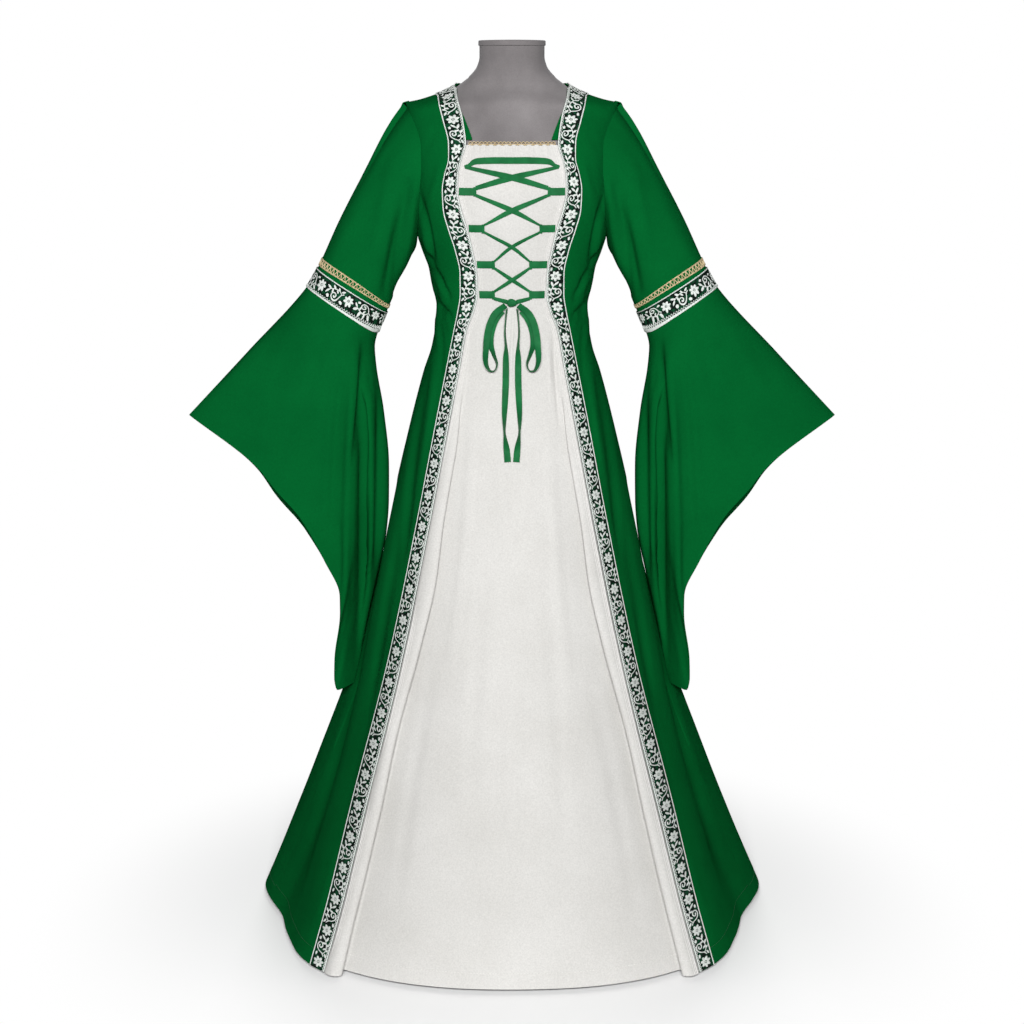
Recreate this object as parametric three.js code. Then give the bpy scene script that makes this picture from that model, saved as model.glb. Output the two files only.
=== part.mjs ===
// Renaissance costume dress, worn on a limbless dress form with a pole and a round base.
// Millimetres. +Z is up, the front of the dress faces -Y, +X is to the viewer's right,
// and the origin is on the floor under the middle of the pole.
import * as THREE from "three";

// Cloth, trim and gaps
const CLOTH = 1.5; // wall of every cut piece
const TRIM = 1.1; // thickness of braid, bands and lace
const SEAM = 0.3; // gap between two pieces that are sewn together
const LAY = 0.4; // gap under a piece that lies on another
const WIND = 0.75; // gap under a trim that is wound round a sleeve
const SHOULDER_GAP = 3.3; // from the cloth's face in to the form, which carries it there

// Heights of the garment
const HEM = 8;
const UNDERARM = 1165;
const NECK_FRONT = 1313; // top edge of the white panel
const NECK_TURN = 1318; // where the green front takes over the neck edge
const BRAID_TOP = 1399; // the braid reaches the shoulder seam
const SHOULDER_TIP = 1375;
const NECK_POINT = 1408;
const PLEAT_TOP = 1042; // the white side pleats open from the waist down
const FORM_BOTTOM = 800;

// The body of the garment as level rings: how far it reaches from the pole's axis to the
// side, the front and the back, and how square each ring is (2 is an ellipse).
const BODY = table(
  ["height", "side", "front", "back", "square"],
  [8, 403, 365, 364, 2.3],
  [110, 362, 337, 336, 2.25],
  [250, 314, 299, 294, 2.2],
  [350, 283, 271, 264, 2.15],
  [430, 262, 249, 240, 2.1],
  [560, 235, 214, 198, 2.1],
  [681, 210, 180, 162, 2.1],
  [833, 175, 138, 128, 2.1],
  [940, 147, 108, 102, 2.15],
  [990, 131, 98, 84, 2.2],
  [1045, 124, 91, 68, 2.2],
  [1090, 133, 95, 73, 2.2],
  [1113, 137, 99, 77, 2.25],
  [1140, 147, 105, 82, 2.3],
  [1165, 154, 111, 88, 2.4],
  [1200, 156, 119, 94, 2.5],
  [1240, 158, 123, 99, 2.6],
  [1277, 160, 117, 102, 2.5],
  [1310, 162, 108, 103, 2.4],
  [1335, 166, 98, 101, 2.3],
  [1360, 171, 83, 94, 2.1],
  [1375, 176, 74, 87, 2],
  [1383, 146, 68, 81, 2],
  [1392, 119, 61, 74, 2],
  [1400, 101, 55, 68, 2],
  [1408, 87, 52, 63, 2],
  [1420, 72, 52, 60, 2],
  [1436, 59, 51.5, 57, 2],
  [1450, 55.5, 51, 56, 2],
  [1466, 55.5, 51, 56, 2],
);

// Edges of the braid, measured sideways from the centre front.
const BRAID = table(
  ["height", "inner", "outer"],
  [8, 302, 328],
  [110, 273, 299],
  [250, 238, 264],
  [490, 178, 201],
  [716, 131, 153],
  [875, 100, 122],
  [955, 84, 106],
  [1020, 72, 93],
  [1048, 61, 87.5],
  [1078, 54.6, 83.5],
  [1110, 55.5, 83.5],
  [1147, 62, 90.5],
  [1184, 70.5, 102],
  [1213, 79.5, 109],
  [1244, 85, 110],
  [1268, 84, 106],
  [1292, 78.5, 100],
  [1315, 72, 100.5],
  [1350, 77, 109],
  [1392, 88, 119],
  [1402, 88, 121],
);

// The white side pleat: how much of it shows beside the braid, and how proud it stands.
const PLEAT = table(
  ["height", "width", "proud"],
  [8, 21, 28],
  [130, 18, 26],
  [245, 18, 24],
  [376, 14, 22],
  [530, 20, 19],
  [610, 23, 17],
  [730, 17, 14.5],
  [867, 15, 10.5],
  [955, 11, 6.5],
  [1000, 7, 3],
  [1042, 4, 0],
  [1402, 4, 0],
);

// Large folds of the skirt: their azimuth from the front at the hem and at their top,
// where they start, how deep they are (in is negative), half their width in degrees, and
// how much of the depth is left at the hem.
const FOLDS = [
  { hem: 57, top: 82, from: 820, depth: 6, half: 13, left: 1 },
  { hem: 76, top: 91, from: 760, depth: -25, half: 11, left: 0.15 },
  { hem: 103, top: 117, from: 650, depth: 45, half: 26, left: 1 },
  { hem: 129, top: 126, from: 560, depth: -20, half: 13, left: 1 },
  { hem: 147, top: 141, from: 700, depth: 20, half: 14, left: 1 },
  { hem: 164, top: 160, from: 620, depth: -14, half: 10, left: 1 },
  { hem: 180, top: 180, from: 760, depth: 16, half: 13, left: 1 },
];
const LIFT_SPREAD = 25; // degrees over which the green skirt falls back from the pleat

// Side of the armhole seam, the same on the front and on the back.
const ARMHOLE = table(
  ["height", "side"],
  [1165, 154],
  [1200, 151],
  [1240, 147.5],
  [1277, 144.5],
  [1310, 145],
  [1331, 150],
  [1350, 158],
  [1365, 167],
  [1375, 176],
);

// Rows of points up the front. The white panel ends at NECK_FRONT.
const FRONT_ROWS = [
  HEM, 110, 225, 345, 465, 580, 690, 790, 880, 950, 1000, PLEAT_TOP, 1078, 1110, 1140,
  UNDERARM, 1205, 1244, 1270, 1294, NECK_FRONT, NECK_TURN, 1336, 1356, 1372, 1384, 1393,
  BRAID_TOP,
];
const BACK_ROWS = [
  HEM, 110, 225, 345, 465, 580, 690, 790, 880, 950, 1000, 1045, 1100, UNDERARM,
];
const BACK_STEPS = [0.18, 0.36, 0.52, 0.66, 0.78, 0.87, 0.94, 1]; // rows above the underarm
const NECK_BACK = 1397; // centre of the back neck edge
const NECK_SHARE = 0.5; // share of the half back that ends at the neck

// Upper sleeve: its outer and inner line seen from the front, and its depth.
const UPPER = table(
  ["along", "outerSide", "outerHeight", "innerSide", "innerHeight", "depth"],
  [0, 176, 1375, 154, 1165, 58],
  [0.1, 196.5, 1347, 158, 1148, 58],
  [0.4, 242, 1264, 178, 1106, 57],
  [0.7, 281.5, 1190, 196, 1065, 53],
  [0.93, 318.5, 1112, 209, 1034, 49],
  [1, 327.6, 1095.5, 213.4, 1024, 48],
);
const UPPER_STEPS = [0, 0.1, 0.25, 0.42, 0.6, 0.78, 0.93, 1];
const ARMHOLE_BLEND = 0.6; // share of the upper sleeve that eases out of the armhole

// Bell of the sleeve, seen from the front: its outer line, its inner line and its hem.
const BELL_OUTER = table(
  ["along", "side", "height"],
  [0, 327.6, 1095.5],
  [0.055, 337, 1081],
  [0.5, 435, 976],
  [1, 538.5, 867],
);
const BELL_INNER = table(
  ["along", "side", "height"],
  [0, 213.4, 1024],
  [0.03, 220.7, 1008],
  [0.075, 227, 981],
  [0.12, 225, 951],
  [0.24, 213.5, 875],
  [0.38, 206, 785],
  [0.48, 207, 722],
  [0.56, 211, 673],
  [0.68, 226, 600],
  [0.83, 247, 510],
  [1, 270, 402],
);
const BELL_HEM = table(
  ["along", "side", "height"],
  [0, 538.5, 867],
  [0.23, 427, 777],
  [0.31, 398, 739],
  [0.415, 357, 690],
  [0.55, 317, 615],
  [0.665, 292, 551],
  [0.7, 292, 527],
  [0.85, 303, 440],
  [0.9, 304, 407],
  [0.933, 299, 388],
  [1, 270, 402],
);
const BELL_DEPTH = table(
  ["along", "depth", "power", "back"],
  [0, 48, 1, 0],
  [0.3, 60, 1.15, 2],
  [0.7, 68, 1.3, 6],
  [1, 66, 1.4, 8],
);
const BELL_STEPS = [0, 0.028, 0.055, 0.11, 0.19, 0.29, 0.4, 0.52, 0.64, 0.76, 0.88, 1];
const BELL_ACROSS = [
  0, 0.03, 0.1, 0.22, 0.36, 0.5, 0.62, 0.71, 0.78, 0.84, 0.89, 0.935, 0.97, 1,
];
const BELL_BEHIND = [0.94, 0.85, 0.74, 0.62, 0.48, 0.34, 0.2, 0.1, 0.03];
// Folds that hang from the elbow: side and height of both ends, half width and depth.
const BELL_FOLDS = [
  { layer: "front", side: 233, height: 950, toSide: 242, toHeight: 400, half: 10, depth: 9 },
  { layer: "front", side: 247, height: 965, toSide: 264, toHeight: 400, half: 11, depth: -13 },
  { layer: "front", side: 262, height: 985, toSide: 287, toHeight: 420, half: 20, depth: 8 },
  { layer: "back", side: 245, height: 940, toSide: 252, toHeight: 400, half: 16, depth: 10 },
  { layer: "back", side: 270, height: 960, toSide: 280, toHeight: 400, half: 17, depth: -11 },
  { layer: "back", side: 330, height: 900, toSide: 350, toHeight: 650, half: 28, depth: 7 },
];
const FOLD_RUN_IN = 160; // height over which a sleeve fold reaches its depth
const EYE_LEVEL = 1420; // the two layers of the bell line up seen from this height
const EYE_AWAY = 3300; // and this far in front
const BACK_HEM_DROP = 9; // the back layer shows below the front one along part of the hem

// Trims of the sleeve, along the upper sleeve (below 1) and the bell (above 1)
const BAND_STOPS = [0.93, 1, 1.028, 1.055];
const CROCHET_STOPS = [0.842, 0.878];
const WIND_SIDES = 26;

// Lacing: height, and sides of the tabs' two ends. Ribbon is LACE_WIDE across.
const LACE_WIDE = 10.5;
const LACE_THICK = 1;
const TAB_TALL = 12;
const TAB_CLEAR = 3.2; // the lace ends this far inside its tab
const LACE_APART = 5.6; // the laces above and below a tab leave it this far from its middle
const ON_PANEL = 0.6; // gap between the lace and the white panel
const OVER = LACE_THICK + LAY; // a crossing lace clears the one below by this
// wide is the lace's visible width below the tab, wideEnd above it: it is twisted there.
const TAB_ROWS = [
  { height: 1241.5, from: 83, to: 59.5, wide: 10.5, wideEnd: 10.5 },
  { height: 1183.8, from: 68, to: 47, wide: 7, wideEnd: 5 },
  { height: 1125.8, from: 55.5, to: 31, wide: 7, wideEnd: 7 },
  { height: 1077, from: 52, to: 31, wide: 7, wideEnd: 6.5 },
];
const LACE_TOP = { bar: 1289, first: 1275, side: 74 };
const KNOT = { height: 1065, wide: 17, tall: 13, deep: 9.6, out: 0.6 };
const TIE = { wide: 7, out: 2.2, end: 7.4 }; // the ties end beside the knot
const LOOP = [
  { side: 10, height: 1063, out: 12.5, flat: 60 },
  { side: 24, height: 1050, out: 13, flat: 85 },
  { side: 32, height: 1034, out: 12, flat: 90 },
  { side: 37, height: 1015, out: 11, flat: 90 },
  { side: 40, height: 992, out: 10, flat: 85 },
  { side: 41, height: 970, out: 10, flat: 70 },
  { side: 36, height: 956, out: 9.5, flat: 50 },
  { side: 27, height: 955, out: 9, flat: 45 },
  { side: 23, height: 966, out: 7.5, flat: 55 },
  { side: 28, height: 981, out: 6, flat: 75 },
  { side: 33, height: 998, out: 5, flat: 85 },
  { side: 32, height: 1018, out: 4.5, flat: 90 },
  { side: 25, height: 1038, out: 4.5, flat: 90 },
  { side: 15, height: 1052, out: 5, flat: 80 },
];
const TAIL = [
  { side: 8.5, height: 1055, out: 6.4, flat: 12 },
  { side: 10.5, height: 1035, out: 6.6, flat: 8 },
  { side: 11.5, height: 1015, out: 6.6, flat: 10 },
  { side: 10, height: 994, out: 6.4, flat: 20 },
  { side: 10, height: 972, out: 5, flat: 60 },
  { side: 10, height: 938, out: 4, flat: 82 },
  { side: 11.5, height: 905, out: 4.5, flat: 60 },
  { side: 12.5, height: 880, out: 5.5, flat: 35 },
  { side: 12, height: 857, out: 6, flat: 15 },
  { side: 8.5, height: 831, out: 4.5, flat: 70 },
  { side: 7, height: 814, out: 3.5, flat: 85 },
];

// The form and its stand
const NECK_TOP = 1466;
const CAP = { radius: 54, thick: 8.5, dome: 1, edge: 2, back: 2.5 };
const POLE = { radius: 14, sides: 16 };
const BASE = { radius: 150, thick: 16, edge: 5, sides: 32 };
const FORM_BENEATH = table(
  ["height", "gap"],
  [1045, 5],
  [1240, 4],
  [1300, 6],
  [1345, 7],
  [1370, 6],
  [1385, SHOULDER_GAP],
  [1466, SHOULDER_GAP],
);
const HIPS = table(
  ["height", "side", "front", "back"],
  [800, 118, 84, 92],
  [806, 132, 94, 103],
  [825, 146, 102, 112],
  [860, 152, 104, 113],
  [900, 148, 101, 108],
  [940, 139, 98, 96],
  [990, 125, 91, 78],
  [1045, 119, 86, 63],
);
const FORM_SIDES = 26;
const FORM_ROWS = [
  FORM_BOTTOM, 806, 825, 860, 905, 950, 1000, 1045, 1100, 1150, 1200, 1245, 1290, 1330, 1358,
  1372, 1381, 1390, 1399, 1408, 1420, 1434, 1450, NECK_TOP,
];

// Colours
const GREEN = cloth("#0a5a2a", 0.62);
const WHITE = cloth("#ece9e3", 0.85);
const RIBBON = cloth("#17653a", 0.5);
const JACQUARD = cloth("#49604f", 0.8);
const CROCHET = cloth("#d8c596", 0.9);
const SUEDE = cloth("#969291", 0.95);
const STEEL = new THREE.MeshStandardMaterial({ color: "#b9bcc0", roughness: 0.3, metalness: 0.9 });

const dress = new THREE.Group();
const garment = new THREE.Group();
const stand = new THREE.Group();
dress.add(garment, stand);

function cloth(color, roughness) {
  return new THREE.MeshStandardMaterial({ color, roughness, metalness: 0 });
}

// A table is a list of column names and rows in rising order of the first column. It is
// read between its rows by a smooth curve that never overshoots them.
function table(names, ...rows) {
  const keys = rows.map((row) => row[0]);
  const curves = {};
  names.slice(1).forEach((name, i) => {
    curves[name] = smoothCurve(keys, rows.map((row) => row[i + 1]));
  });
  return (name, key) => curves[name](key);
}

function smoothCurve(keys, values) {
  const last = keys.length - 1;
  const rise = keys.slice(1).map((key, i) => (values[i + 1] - values[i]) / (key - keys[i]));
  const slope = values.map((_, i) => {
    if (i === 0) return rise[0];
    if (i === last) return rise[last - 1];
    if (rise[i - 1] * rise[i] <= 0) return 0;
    return (2 * rise[i - 1] * rise[i]) / (rise[i - 1] + rise[i]);
  });
  return (key) => {
    if (key <= keys[0]) return values[0];
    if (key >= keys[last]) return values[last];
    const i = keys.findIndex((k) => k > key) - 1;
    const span = keys[i + 1] - keys[i];
    const t = (key - keys[i]) / span;
    const a = values[i] * (1 + 2 * t) * (1 - t) ** 2 + slope[i] * span * t * (1 - t) ** 2;
    const b = values[i + 1] * t * t * (3 - 2 * t) + slope[i + 1] * span * t * t * (t - 1);
    return a + b;
  };
}

function mix(a, b, t) {
  return a + (b - a) * t;
}

function ease(t) {
  const c = Math.min(1, Math.max(0, t));
  return c * c * (3 - 2 * c);
}

function bump(t) {
  return Math.abs(t) < 1 ? Math.cos((t * Math.PI) / 2) ** 2 : 0;
}

function radians(degrees) {
  return (degrees * Math.PI) / 180;
}

function point(x, y, z) {
  return new THREE.Vector3(x, y, z);
}

// Finds where a rising function reaches a value.
function solve(low, high, value, rising) {
  let [a, b] = [low, high];
  for (let i = 0; i < 40; i += 1) {
    const middle = (a + b) / 2;
    if (rising(middle) < value) a = middle;
    else b = middle;
  }
  return (a + b) / 2;
}

// The surface of the garment's body. Azimuth 0 is the centre front, 90 the +X side.
function ringRadius(azimuth, height) {
  const turn = radians(azimuth);
  const depth = BODY(Math.cos(turn) > 0 ? "front" : "back", height);
  const square = BODY("square", height);
  const across = Math.abs(Math.sin(turn)) / BODY("side", height);
  const along = Math.abs(Math.cos(turn)) / depth;
  return (across ** square + along ** square) ** (-1 / square);
}

function foldRadius(azimuth, height) {
  let sum = 0;
  for (const fold of FOLDS) {
    if (height >= fold.from) continue;
    const t = (height - HEM) / (fold.from - HEM);
    const near = bump((azimuth - mix(fold.hem, fold.top, t)) / fold.half);
    sum += fold.depth * (1 - t * t) ** 0.8 * mix(fold.left, 1, ease(2 * t)) * near;
  }
  return sum;
}

function pleatAzimuth(height) {
  const side = BRAID("inner", height) - PLEAT("width", height);
  const proud = PLEAT("proud", height);
  return solve(0, 89, side, (a) => (ringRadius(a, height) + proud) * Math.sin(radians(a)));
}

function mainRadius(azimuth, height) {
  return ringRadius(azimuth, height) + foldRadius(azimuth, height);
}

function outerRadius(azimuth, height) {
  const past = Math.max(0, azimuth - pleatAzimuth(height)) / LIFT_SPREAD;
  return mainRadius(azimuth, height) + PLEAT("proud", height) * (1 - ease(past));
}

function placed(azimuth, height, radius) {
  const turn = radians(azimuth);
  return point(radius * Math.sin(turn), -radius * Math.cos(turn), height);
}

function onBody(azimuth, height) {
  return placed(azimuth, height, outerRadius(azimuth, height));
}

function onMain(azimuth, height) {
  return placed(azimuth, height, mainRadius(azimuth, height));
}

// Azimuth of a point of the front, or of the back, at a distance to the side.
function frontAzimuth(side, height) {
  return solve(0, 90, side, (a) => outerRadius(a, height) * Math.sin(radians(a)));
}

function backAzimuth(side, height) {
  return 180 - solve(0, 90, side, (a) => mainRadius(180 - a, height) * Math.sin(radians(a)));
}

function shoulderHeight(side) {
  return solve(SHOULDER_TIP, NECK_POINT, -side, (height) => -BODY("side", height));
}

// Meshes from grids of points
// A sheet is a grid of points, row by row. Its wall lies inside them, on the side away
// from the normal, and its rim joins the two faces.
function gridNormals(rows, closed, flip) {
  const high = rows.length;
  const wide = rows[0].length;
  return rows.map((row, i) =>
    row.map((_, j) => {
      const left = closed ? row[(j + wide - 1) % wide] : row[Math.max(0, j - 1)];
      const right = closed ? row[(j + 1) % wide] : row[Math.min(wide - 1, j + 1)];
      const down = rows[Math.max(0, i - 1)][j];
      const up = rows[Math.min(high - 1, i + 1)][j];
      const normal = right.clone().sub(left).cross(up.clone().sub(down)).normalize();
      return flip ? normal.negate() : normal;
    }),
  );
}

function moved(rows, normals, distance) {
  return rows.map((row, i) =>
    row.map((p, j) => p.clone().addScaledVector(normals[i][j], distance)),
  );
}

function wallGeometry(outer, inner, closed) {
  const high = outer.length;
  const wide = outer[0].length;
  const positions = [];
  const indices = [];
  for (const rows of [outer, inner]) {
    for (const row of rows) {
      for (const p of row) positions.push(p.x, p.y, p.z);
    }
  }
  const at = (face, i, j) => face * high * wide + i * wide + (j % wide);
  const quad = (a, b, c, d) => indices.push(a, b, c, a, c, d);
  const columns = closed ? wide : wide - 1;
  for (let i = 0; i < high - 1; i += 1) {
    for (let j = 0; j < columns; j += 1) {
      quad(at(0, i, j), at(0, i, j + 1), at(0, i + 1, j + 1), at(0, i + 1, j));
      quad(at(1, i, j), at(1, i + 1, j), at(1, i + 1, j + 1), at(1, i, j + 1));
    }
    if (!closed) {
      quad(at(0, i, 0), at(0, i + 1, 0), at(1, i + 1, 0), at(1, i, 0));
      quad(at(0, i + 1, columns), at(0, i, columns), at(1, i, columns), at(1, i + 1, columns));
    }
  }
  for (let j = 0; j < columns; j += 1) {
    quad(at(0, 0, j + 1), at(0, 0, j), at(1, 0, j), at(1, 0, j + 1));
    quad(at(0, high - 1, j), at(0, high - 1, j + 1), at(1, high - 1, j + 1), at(1, high - 1, j));
  }
  const geometry = new THREE.BufferGeometry();
  geometry.setAttribute("position", new THREE.Float32BufferAttribute(positions, 3));
  geometry.setIndex(indices);
  return geometry;
}

function turnedOutward(geometry) {
  const p = geometry.attributes.position;
  const index = geometry.index.array;
  const [a, b, c] = [point(0, 0, 0), point(0, 0, 0), point(0, 0, 0)];
  let volume = 0;
  for (let i = 0; i < index.length; i += 3) {
    a.fromBufferAttribute(p, index[i]);
    b.fromBufferAttribute(p, index[i + 1]);
    c.fromBufferAttribute(p, index[i + 2]);
    volume += a.dot(b.cross(c));
  }
  if (volume < 0) {
    for (let i = 0; i < index.length; i += 3) {
      [index[i + 1], index[i + 2]] = [index[i + 2], index[i + 1]];
    }
  }
  geometry.computeVertexNormals();
  return geometry;
}

function mirrored(geometry) {
  const copy = geometry.clone();
  const p = copy.attributes.position;
  for (let i = 0; i < p.count; i += 1) p.setX(i, -p.getX(i));
  return copy;
}

// The same sheet on the other side, with its rows still running from -X to +X, so that
// pieces that lie on each other keep the same facets on both sides.
function mirroredRows(rows) {
  return rows.map((row) => row.map((p) => point(-p.x, p.y, p.z)).reverse());
}

function add(group, name, geometry, material) {
  const mesh = new THREE.Mesh(turnedOutward(geometry), material);
  mesh.name = name;
  group.add(mesh);
}

// The wearer's left is at +X, which the viewer sees on the right.
function addPair(group, name, geometry, material) {
  add(group, `${name}_right`, mirrored(geometry), material);
  add(group, `${name}_left`, geometry, material);
}

function addSheetPair(group, name, rows, material, options) {
  add(group, `${name}_right`, sheet(mirroredRows(rows), options), material);
  add(group, `${name}_left`, sheet(rows, options), material);
}

// A sheet whose face points away from the body's axis. A raised one lies on those points.
// The walls on both sides of a side or shoulder seam end on its upright plane.
function sheet(rows, options = {}) {
  const { closed = false, flip = false, thick = CLOTH, raise = 0 } = options;
  const normals = gridNormals(rows, closed, flip);
  rows.forEach((row, i) => {
    row.forEach((p, j) => {
      if (!closed && Math.abs(p.y) < SEAM) normals[i][j].setY(0).normalize();
    });
  });
  const outer = moved(rows, normals, raise);
  const inner = moved(rows, normals, raise - thick);
  return wallGeometry(outer, inner, closed);
}

// The braid's edges. Its top end follows the shoulder seam, so its edges part in height.
const BRAID_TILT = 6; // how far each edge has parted from the level row at the top

function braidEdges(height) {
  const tilt = BRAID_TILT * ease((height - NECK_TURN) / (BRAID_TOP - NECK_TURN));
  const top = height === BRAID_TOP;
  const innerHeight = top ? shoulderHeight(BRAID("inner", height)) : height + tilt;
  const outerHeight = top ? shoulderHeight(BRAID("outer", height)) : height - tilt;
  return {
    inner: { height: innerHeight, azimuth: braidAzimuth("inner", height, innerHeight, top) },
    outer: { height: outerHeight, azimuth: braidAzimuth("outer", height, outerHeight, top) },
  };
}

function braidAzimuth(edge, row, height, top) {
  return top ? 90 : frontAzimuth(BRAID(edge, row), height);
}

function between(a, b, t) {
  return { height: mix(a.height, b.height, t), azimuth: mix(a.azimuth, b.azimuth, t) };
}

function spot(place) {
  return onBody(place.azimuth, place.height);
}

function braidRow(height) {
  const { inner, outer } = braidEdges(height);
  return [spot(inner), spot(between(inner, outer, 0.5)), spot(outer)];
}

function seamShare(height, sign) {
  const { inner, outer } = braidEdges(height);
  const wide = spot(inner).distanceTo(spot(outer));
  return 0.5 + (sign * SEAM) / 2 / wide;
}

// White panel: flat to the side pleat, which folds back under itself and out again.
const PLEAT_FOLD = [
  { along: 0.35, out: 0 },
  { along: 0.52, out: 0.15 },
  { along: 0.42, out: 0.38 },
  { along: 0.1, out: 0.48 },
  { along: -0.05, out: 0.72 },
  { along: 0.08, out: 0.98 },
  { along: 0.45, out: 1.1 },
  { along: 1, out: 1 },
];
const PLEAT_START = 7; // the pleat folds under where it stands prouder than this
const PLEAT_FULL = 12;
const WHITE_COLUMNS = 8; // from the centre front to the pleat
const GATHERS = [0, 26, 52]; // sides of the gathers under the top edge
const GATHER = { half: 11, depth: 1.6, tall: 26 };

function gathered(side, height) {
  const near = ease((height - NECK_FRONT + GATHER.tall) / GATHER.tall);
  const sum = GATHERS.reduce((all, at) => all + bump((Math.abs(side) - at) / GATHER.half), 0);
  return GATHER.depth * near * (sum - 0.5);
}

function whiteHalfRow(height) {
  const pleat = pleatAzimuth(height);
  const { inner, outer } = braidEdges(height);
  const proud = PLEAT("proud", height);
  const folded = ease((proud - PLEAT_START) / (PLEAT_FULL - PLEAT_START));
  const wide = inner.azimuth - pleat;
  const steps = PLEAT_FOLD.length - 1;
  const start = pleat + mix(0, PLEAT_FOLD[0].along, folded) * wide;
  const row = [];
  for (let i = 0; i < WHITE_COLUMNS; i += 1) {
    const azimuth = (start * i) / WHITE_COLUMNS;
    const p = onMain(azimuth, height);
    p.y += gathered(p.x, height);
    row.push(p);
  }
  PLEAT_FOLD.forEach(({ along, out }, i) => {
    const azimuth = pleat + wide * mix(i / steps, along, folded);
    const lift = proud * mix(ease(i / steps), out, folded);
    const free = mainRadius(azimuth, height) + lift;
    const joined = outerRadius(azimuth, height);
    row.push(placed(azimuth, height, i === steps ? joined : free));
  });
  row.push(spot(between(inner, outer, seamShare(height, -1))));
  if (height === NECK_FRONT) row[row.length - 1].z -= SEAM;
  return row;
}

function whiteRow(height) {
  const half = whiteHalfRow(height);
  const other = half.slice(1).reverse().map((p) => point(-p.x, p.y, p.z));
  return [...other, ...half];
}

function whitePanel() {
  const rows = FRONT_ROWS.filter((height) => height <= NECK_FRONT).map(whiteRow);
  return sheet(rows);
}

// Green front: from the seam under the braid to the side seam and the armhole.
const FRONT_SHARES = [0.16, 0.34, 0.56, 0.78, 1]; // columns past the braid
const BESIDE_EDGE = 0.06; // the column next to the seam under the braid

function armholePlace(t, behind) {
  const height = mix(UNDERARM, SHOULDER_TIP, (1 - Math.cos(Math.PI * t)) / 2);
  if (t <= 0 || t >= 1) return { height, azimuth: 90 };
  const side = ARMHOLE("side", height);
  return { height, azimuth: behind ? backAzimuth(side, height) : frontAzimuth(side, height) };
}

function frontTurn(height) {
  return (height - UNDERARM) / (BRAID_TOP - UNDERARM);
}

function frontRow(height) {
  const { inner, outer } = braidEdges(height);
  const edge = height < NECK_TURN ? between(inner, outer, seamShare(height, 1)) : inner;
  const gap = sideSeamGap(height);
  const level = { height, azimuth: 90 - gap };
  const side = height <= UNDERARM ? level : armholePlace(frontTurn(height), false);
  const middle = height < NECK_TURN
    ? spot(edge).lerp(spot(outer), BESIDE_EDGE)
    : spot(between(inner, outer, 0.5));
  const top = height === BRAID_TOP;
  const rest = FRONT_SHARES.map((share) =>
    spot(top ? shoulderPlace(outer, share) : between(outer, side, share)),
  );
  const row = [spot(edge), middle, spot(outer), ...rest];
  return top ? row.map((p) => p.setY(p.y - SEAM / 2)) : row;
}

function shoulderPlace(from, share) {
  const side = mix(BODY("side", from.height), BODY("side", SHOULDER_TIP), share);
  return { height: shoulderHeight(side), azimuth: 90 };
}

function sideSeamGap(height) {
  const across = BODY("side", height);
  return ((SEAM / 2 / across) * 180) / Math.PI;
}

// How each kind of sheet is made from its points
const ON_BRAID = { thick: TRIM, raise: LAY + TRIM };
const TURNED_IN = { thick: 1, raise: -CLOTH - 0.8 };
const ROUND = { closed: true };
const WOUND = { closed: true, thick: TRIM, raise: WIND + TRIM };

// The front's neck edge is turned in: a narrow strip shows inside the braid.
const TURNING = { under: 5, from: 1322, to: 1366, wide: 9 };

function turningRows() {
  const rows = [];
  for (let i = 0; i <= 4; i += 1) {
    const t = i / 4;
    const height = mix(TURNING.from, TURNING.to, t);
    const side = BRAID("inner", height);
    const shown = TURNING.wide * (1 - t) + 0.6;
    rows.push(
      [side - shown, side - shown / 2, side, side + TURNING.under].map((x) =>
        onBody(frontAzimuth(x, height), height),
      ),
    );
  }
  return rows;
}

// Back: one piece from side seam to side seam.
const BACK_COLUMNS = 13; // from the centre back to one side

function backTopHeight(share) {
  if (share <= NECK_SHARE) return mix(NECK_BACK, NECK_POINT, ease(share / NECK_SHARE));
  const side = mix(BODY("side", NECK_POINT), BODY("side", SHOULDER_TIP),
    (share - NECK_SHARE) / (1 - NECK_SHARE));
  return shoulderHeight(side);
}

function backPlace(share, t) {
  const edge = armholePlace(t, true);
  const spread = mix(share, Math.min(1, share / NECK_SHARE), t ** 3);
  const height = mix(UNDERARM, backTopHeight(share), edgeRise(t, share));
  return { height, azimuth: 180 - (180 - edge.azimuth) * spread };
}

// Rows leave the armhole at its own height and even out towards the centre back.
function edgeRise(t, share) {
  const atEdge = (1 - Math.cos(Math.PI * t)) / 2;
  return mix(t, atEdge, share ** 2);
}

function backRow(height, t) {
  const row = [];
  for (let i = -BACK_COLUMNS; i <= BACK_COLUMNS; i += 1) {
    const share = Math.abs(i) / BACK_COLUMNS;
    const level = { height, azimuth: 180 - (90 - sideSeamGap(height)) * share };
    const place = t > 0 ? backPlace(share, t) : level;
    const p = onMain(place.azimuth, place.height);
    if (t === 1) p.y += SEAM / 2;
    row.push(i < 0 ? point(-p.x, p.y, p.z) : p);
  }
  return row;
}

function backPanel() {
  const lower = BACK_ROWS.map((height) => backRow(height, 0));
  const upper = BACK_STEPS.map((t) => backRow(UNDERARM, t));
  return sheet([...lower, ...upper], { flip: true });
}

// Upper sleeve: a tube that leaves the armhole and follows the arm's outline. A turn of 0
// is at the outer line, 90 at the front, 180 at the inner line and 270 at the back.
function tubePoint(along, turn) {
  const outer = point(UPPER("outerSide", along), 0, UPPER("outerHeight", along));
  const inner = point(UPPER("innerSide", along), 0, UPPER("innerHeight", along));
  const p = outer.clone().lerp(inner, (1 - Math.cos(radians(turn))) / 2);
  p.y -= UPPER("depth", along) * Math.sin(radians(turn));
  return p;
}

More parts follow.
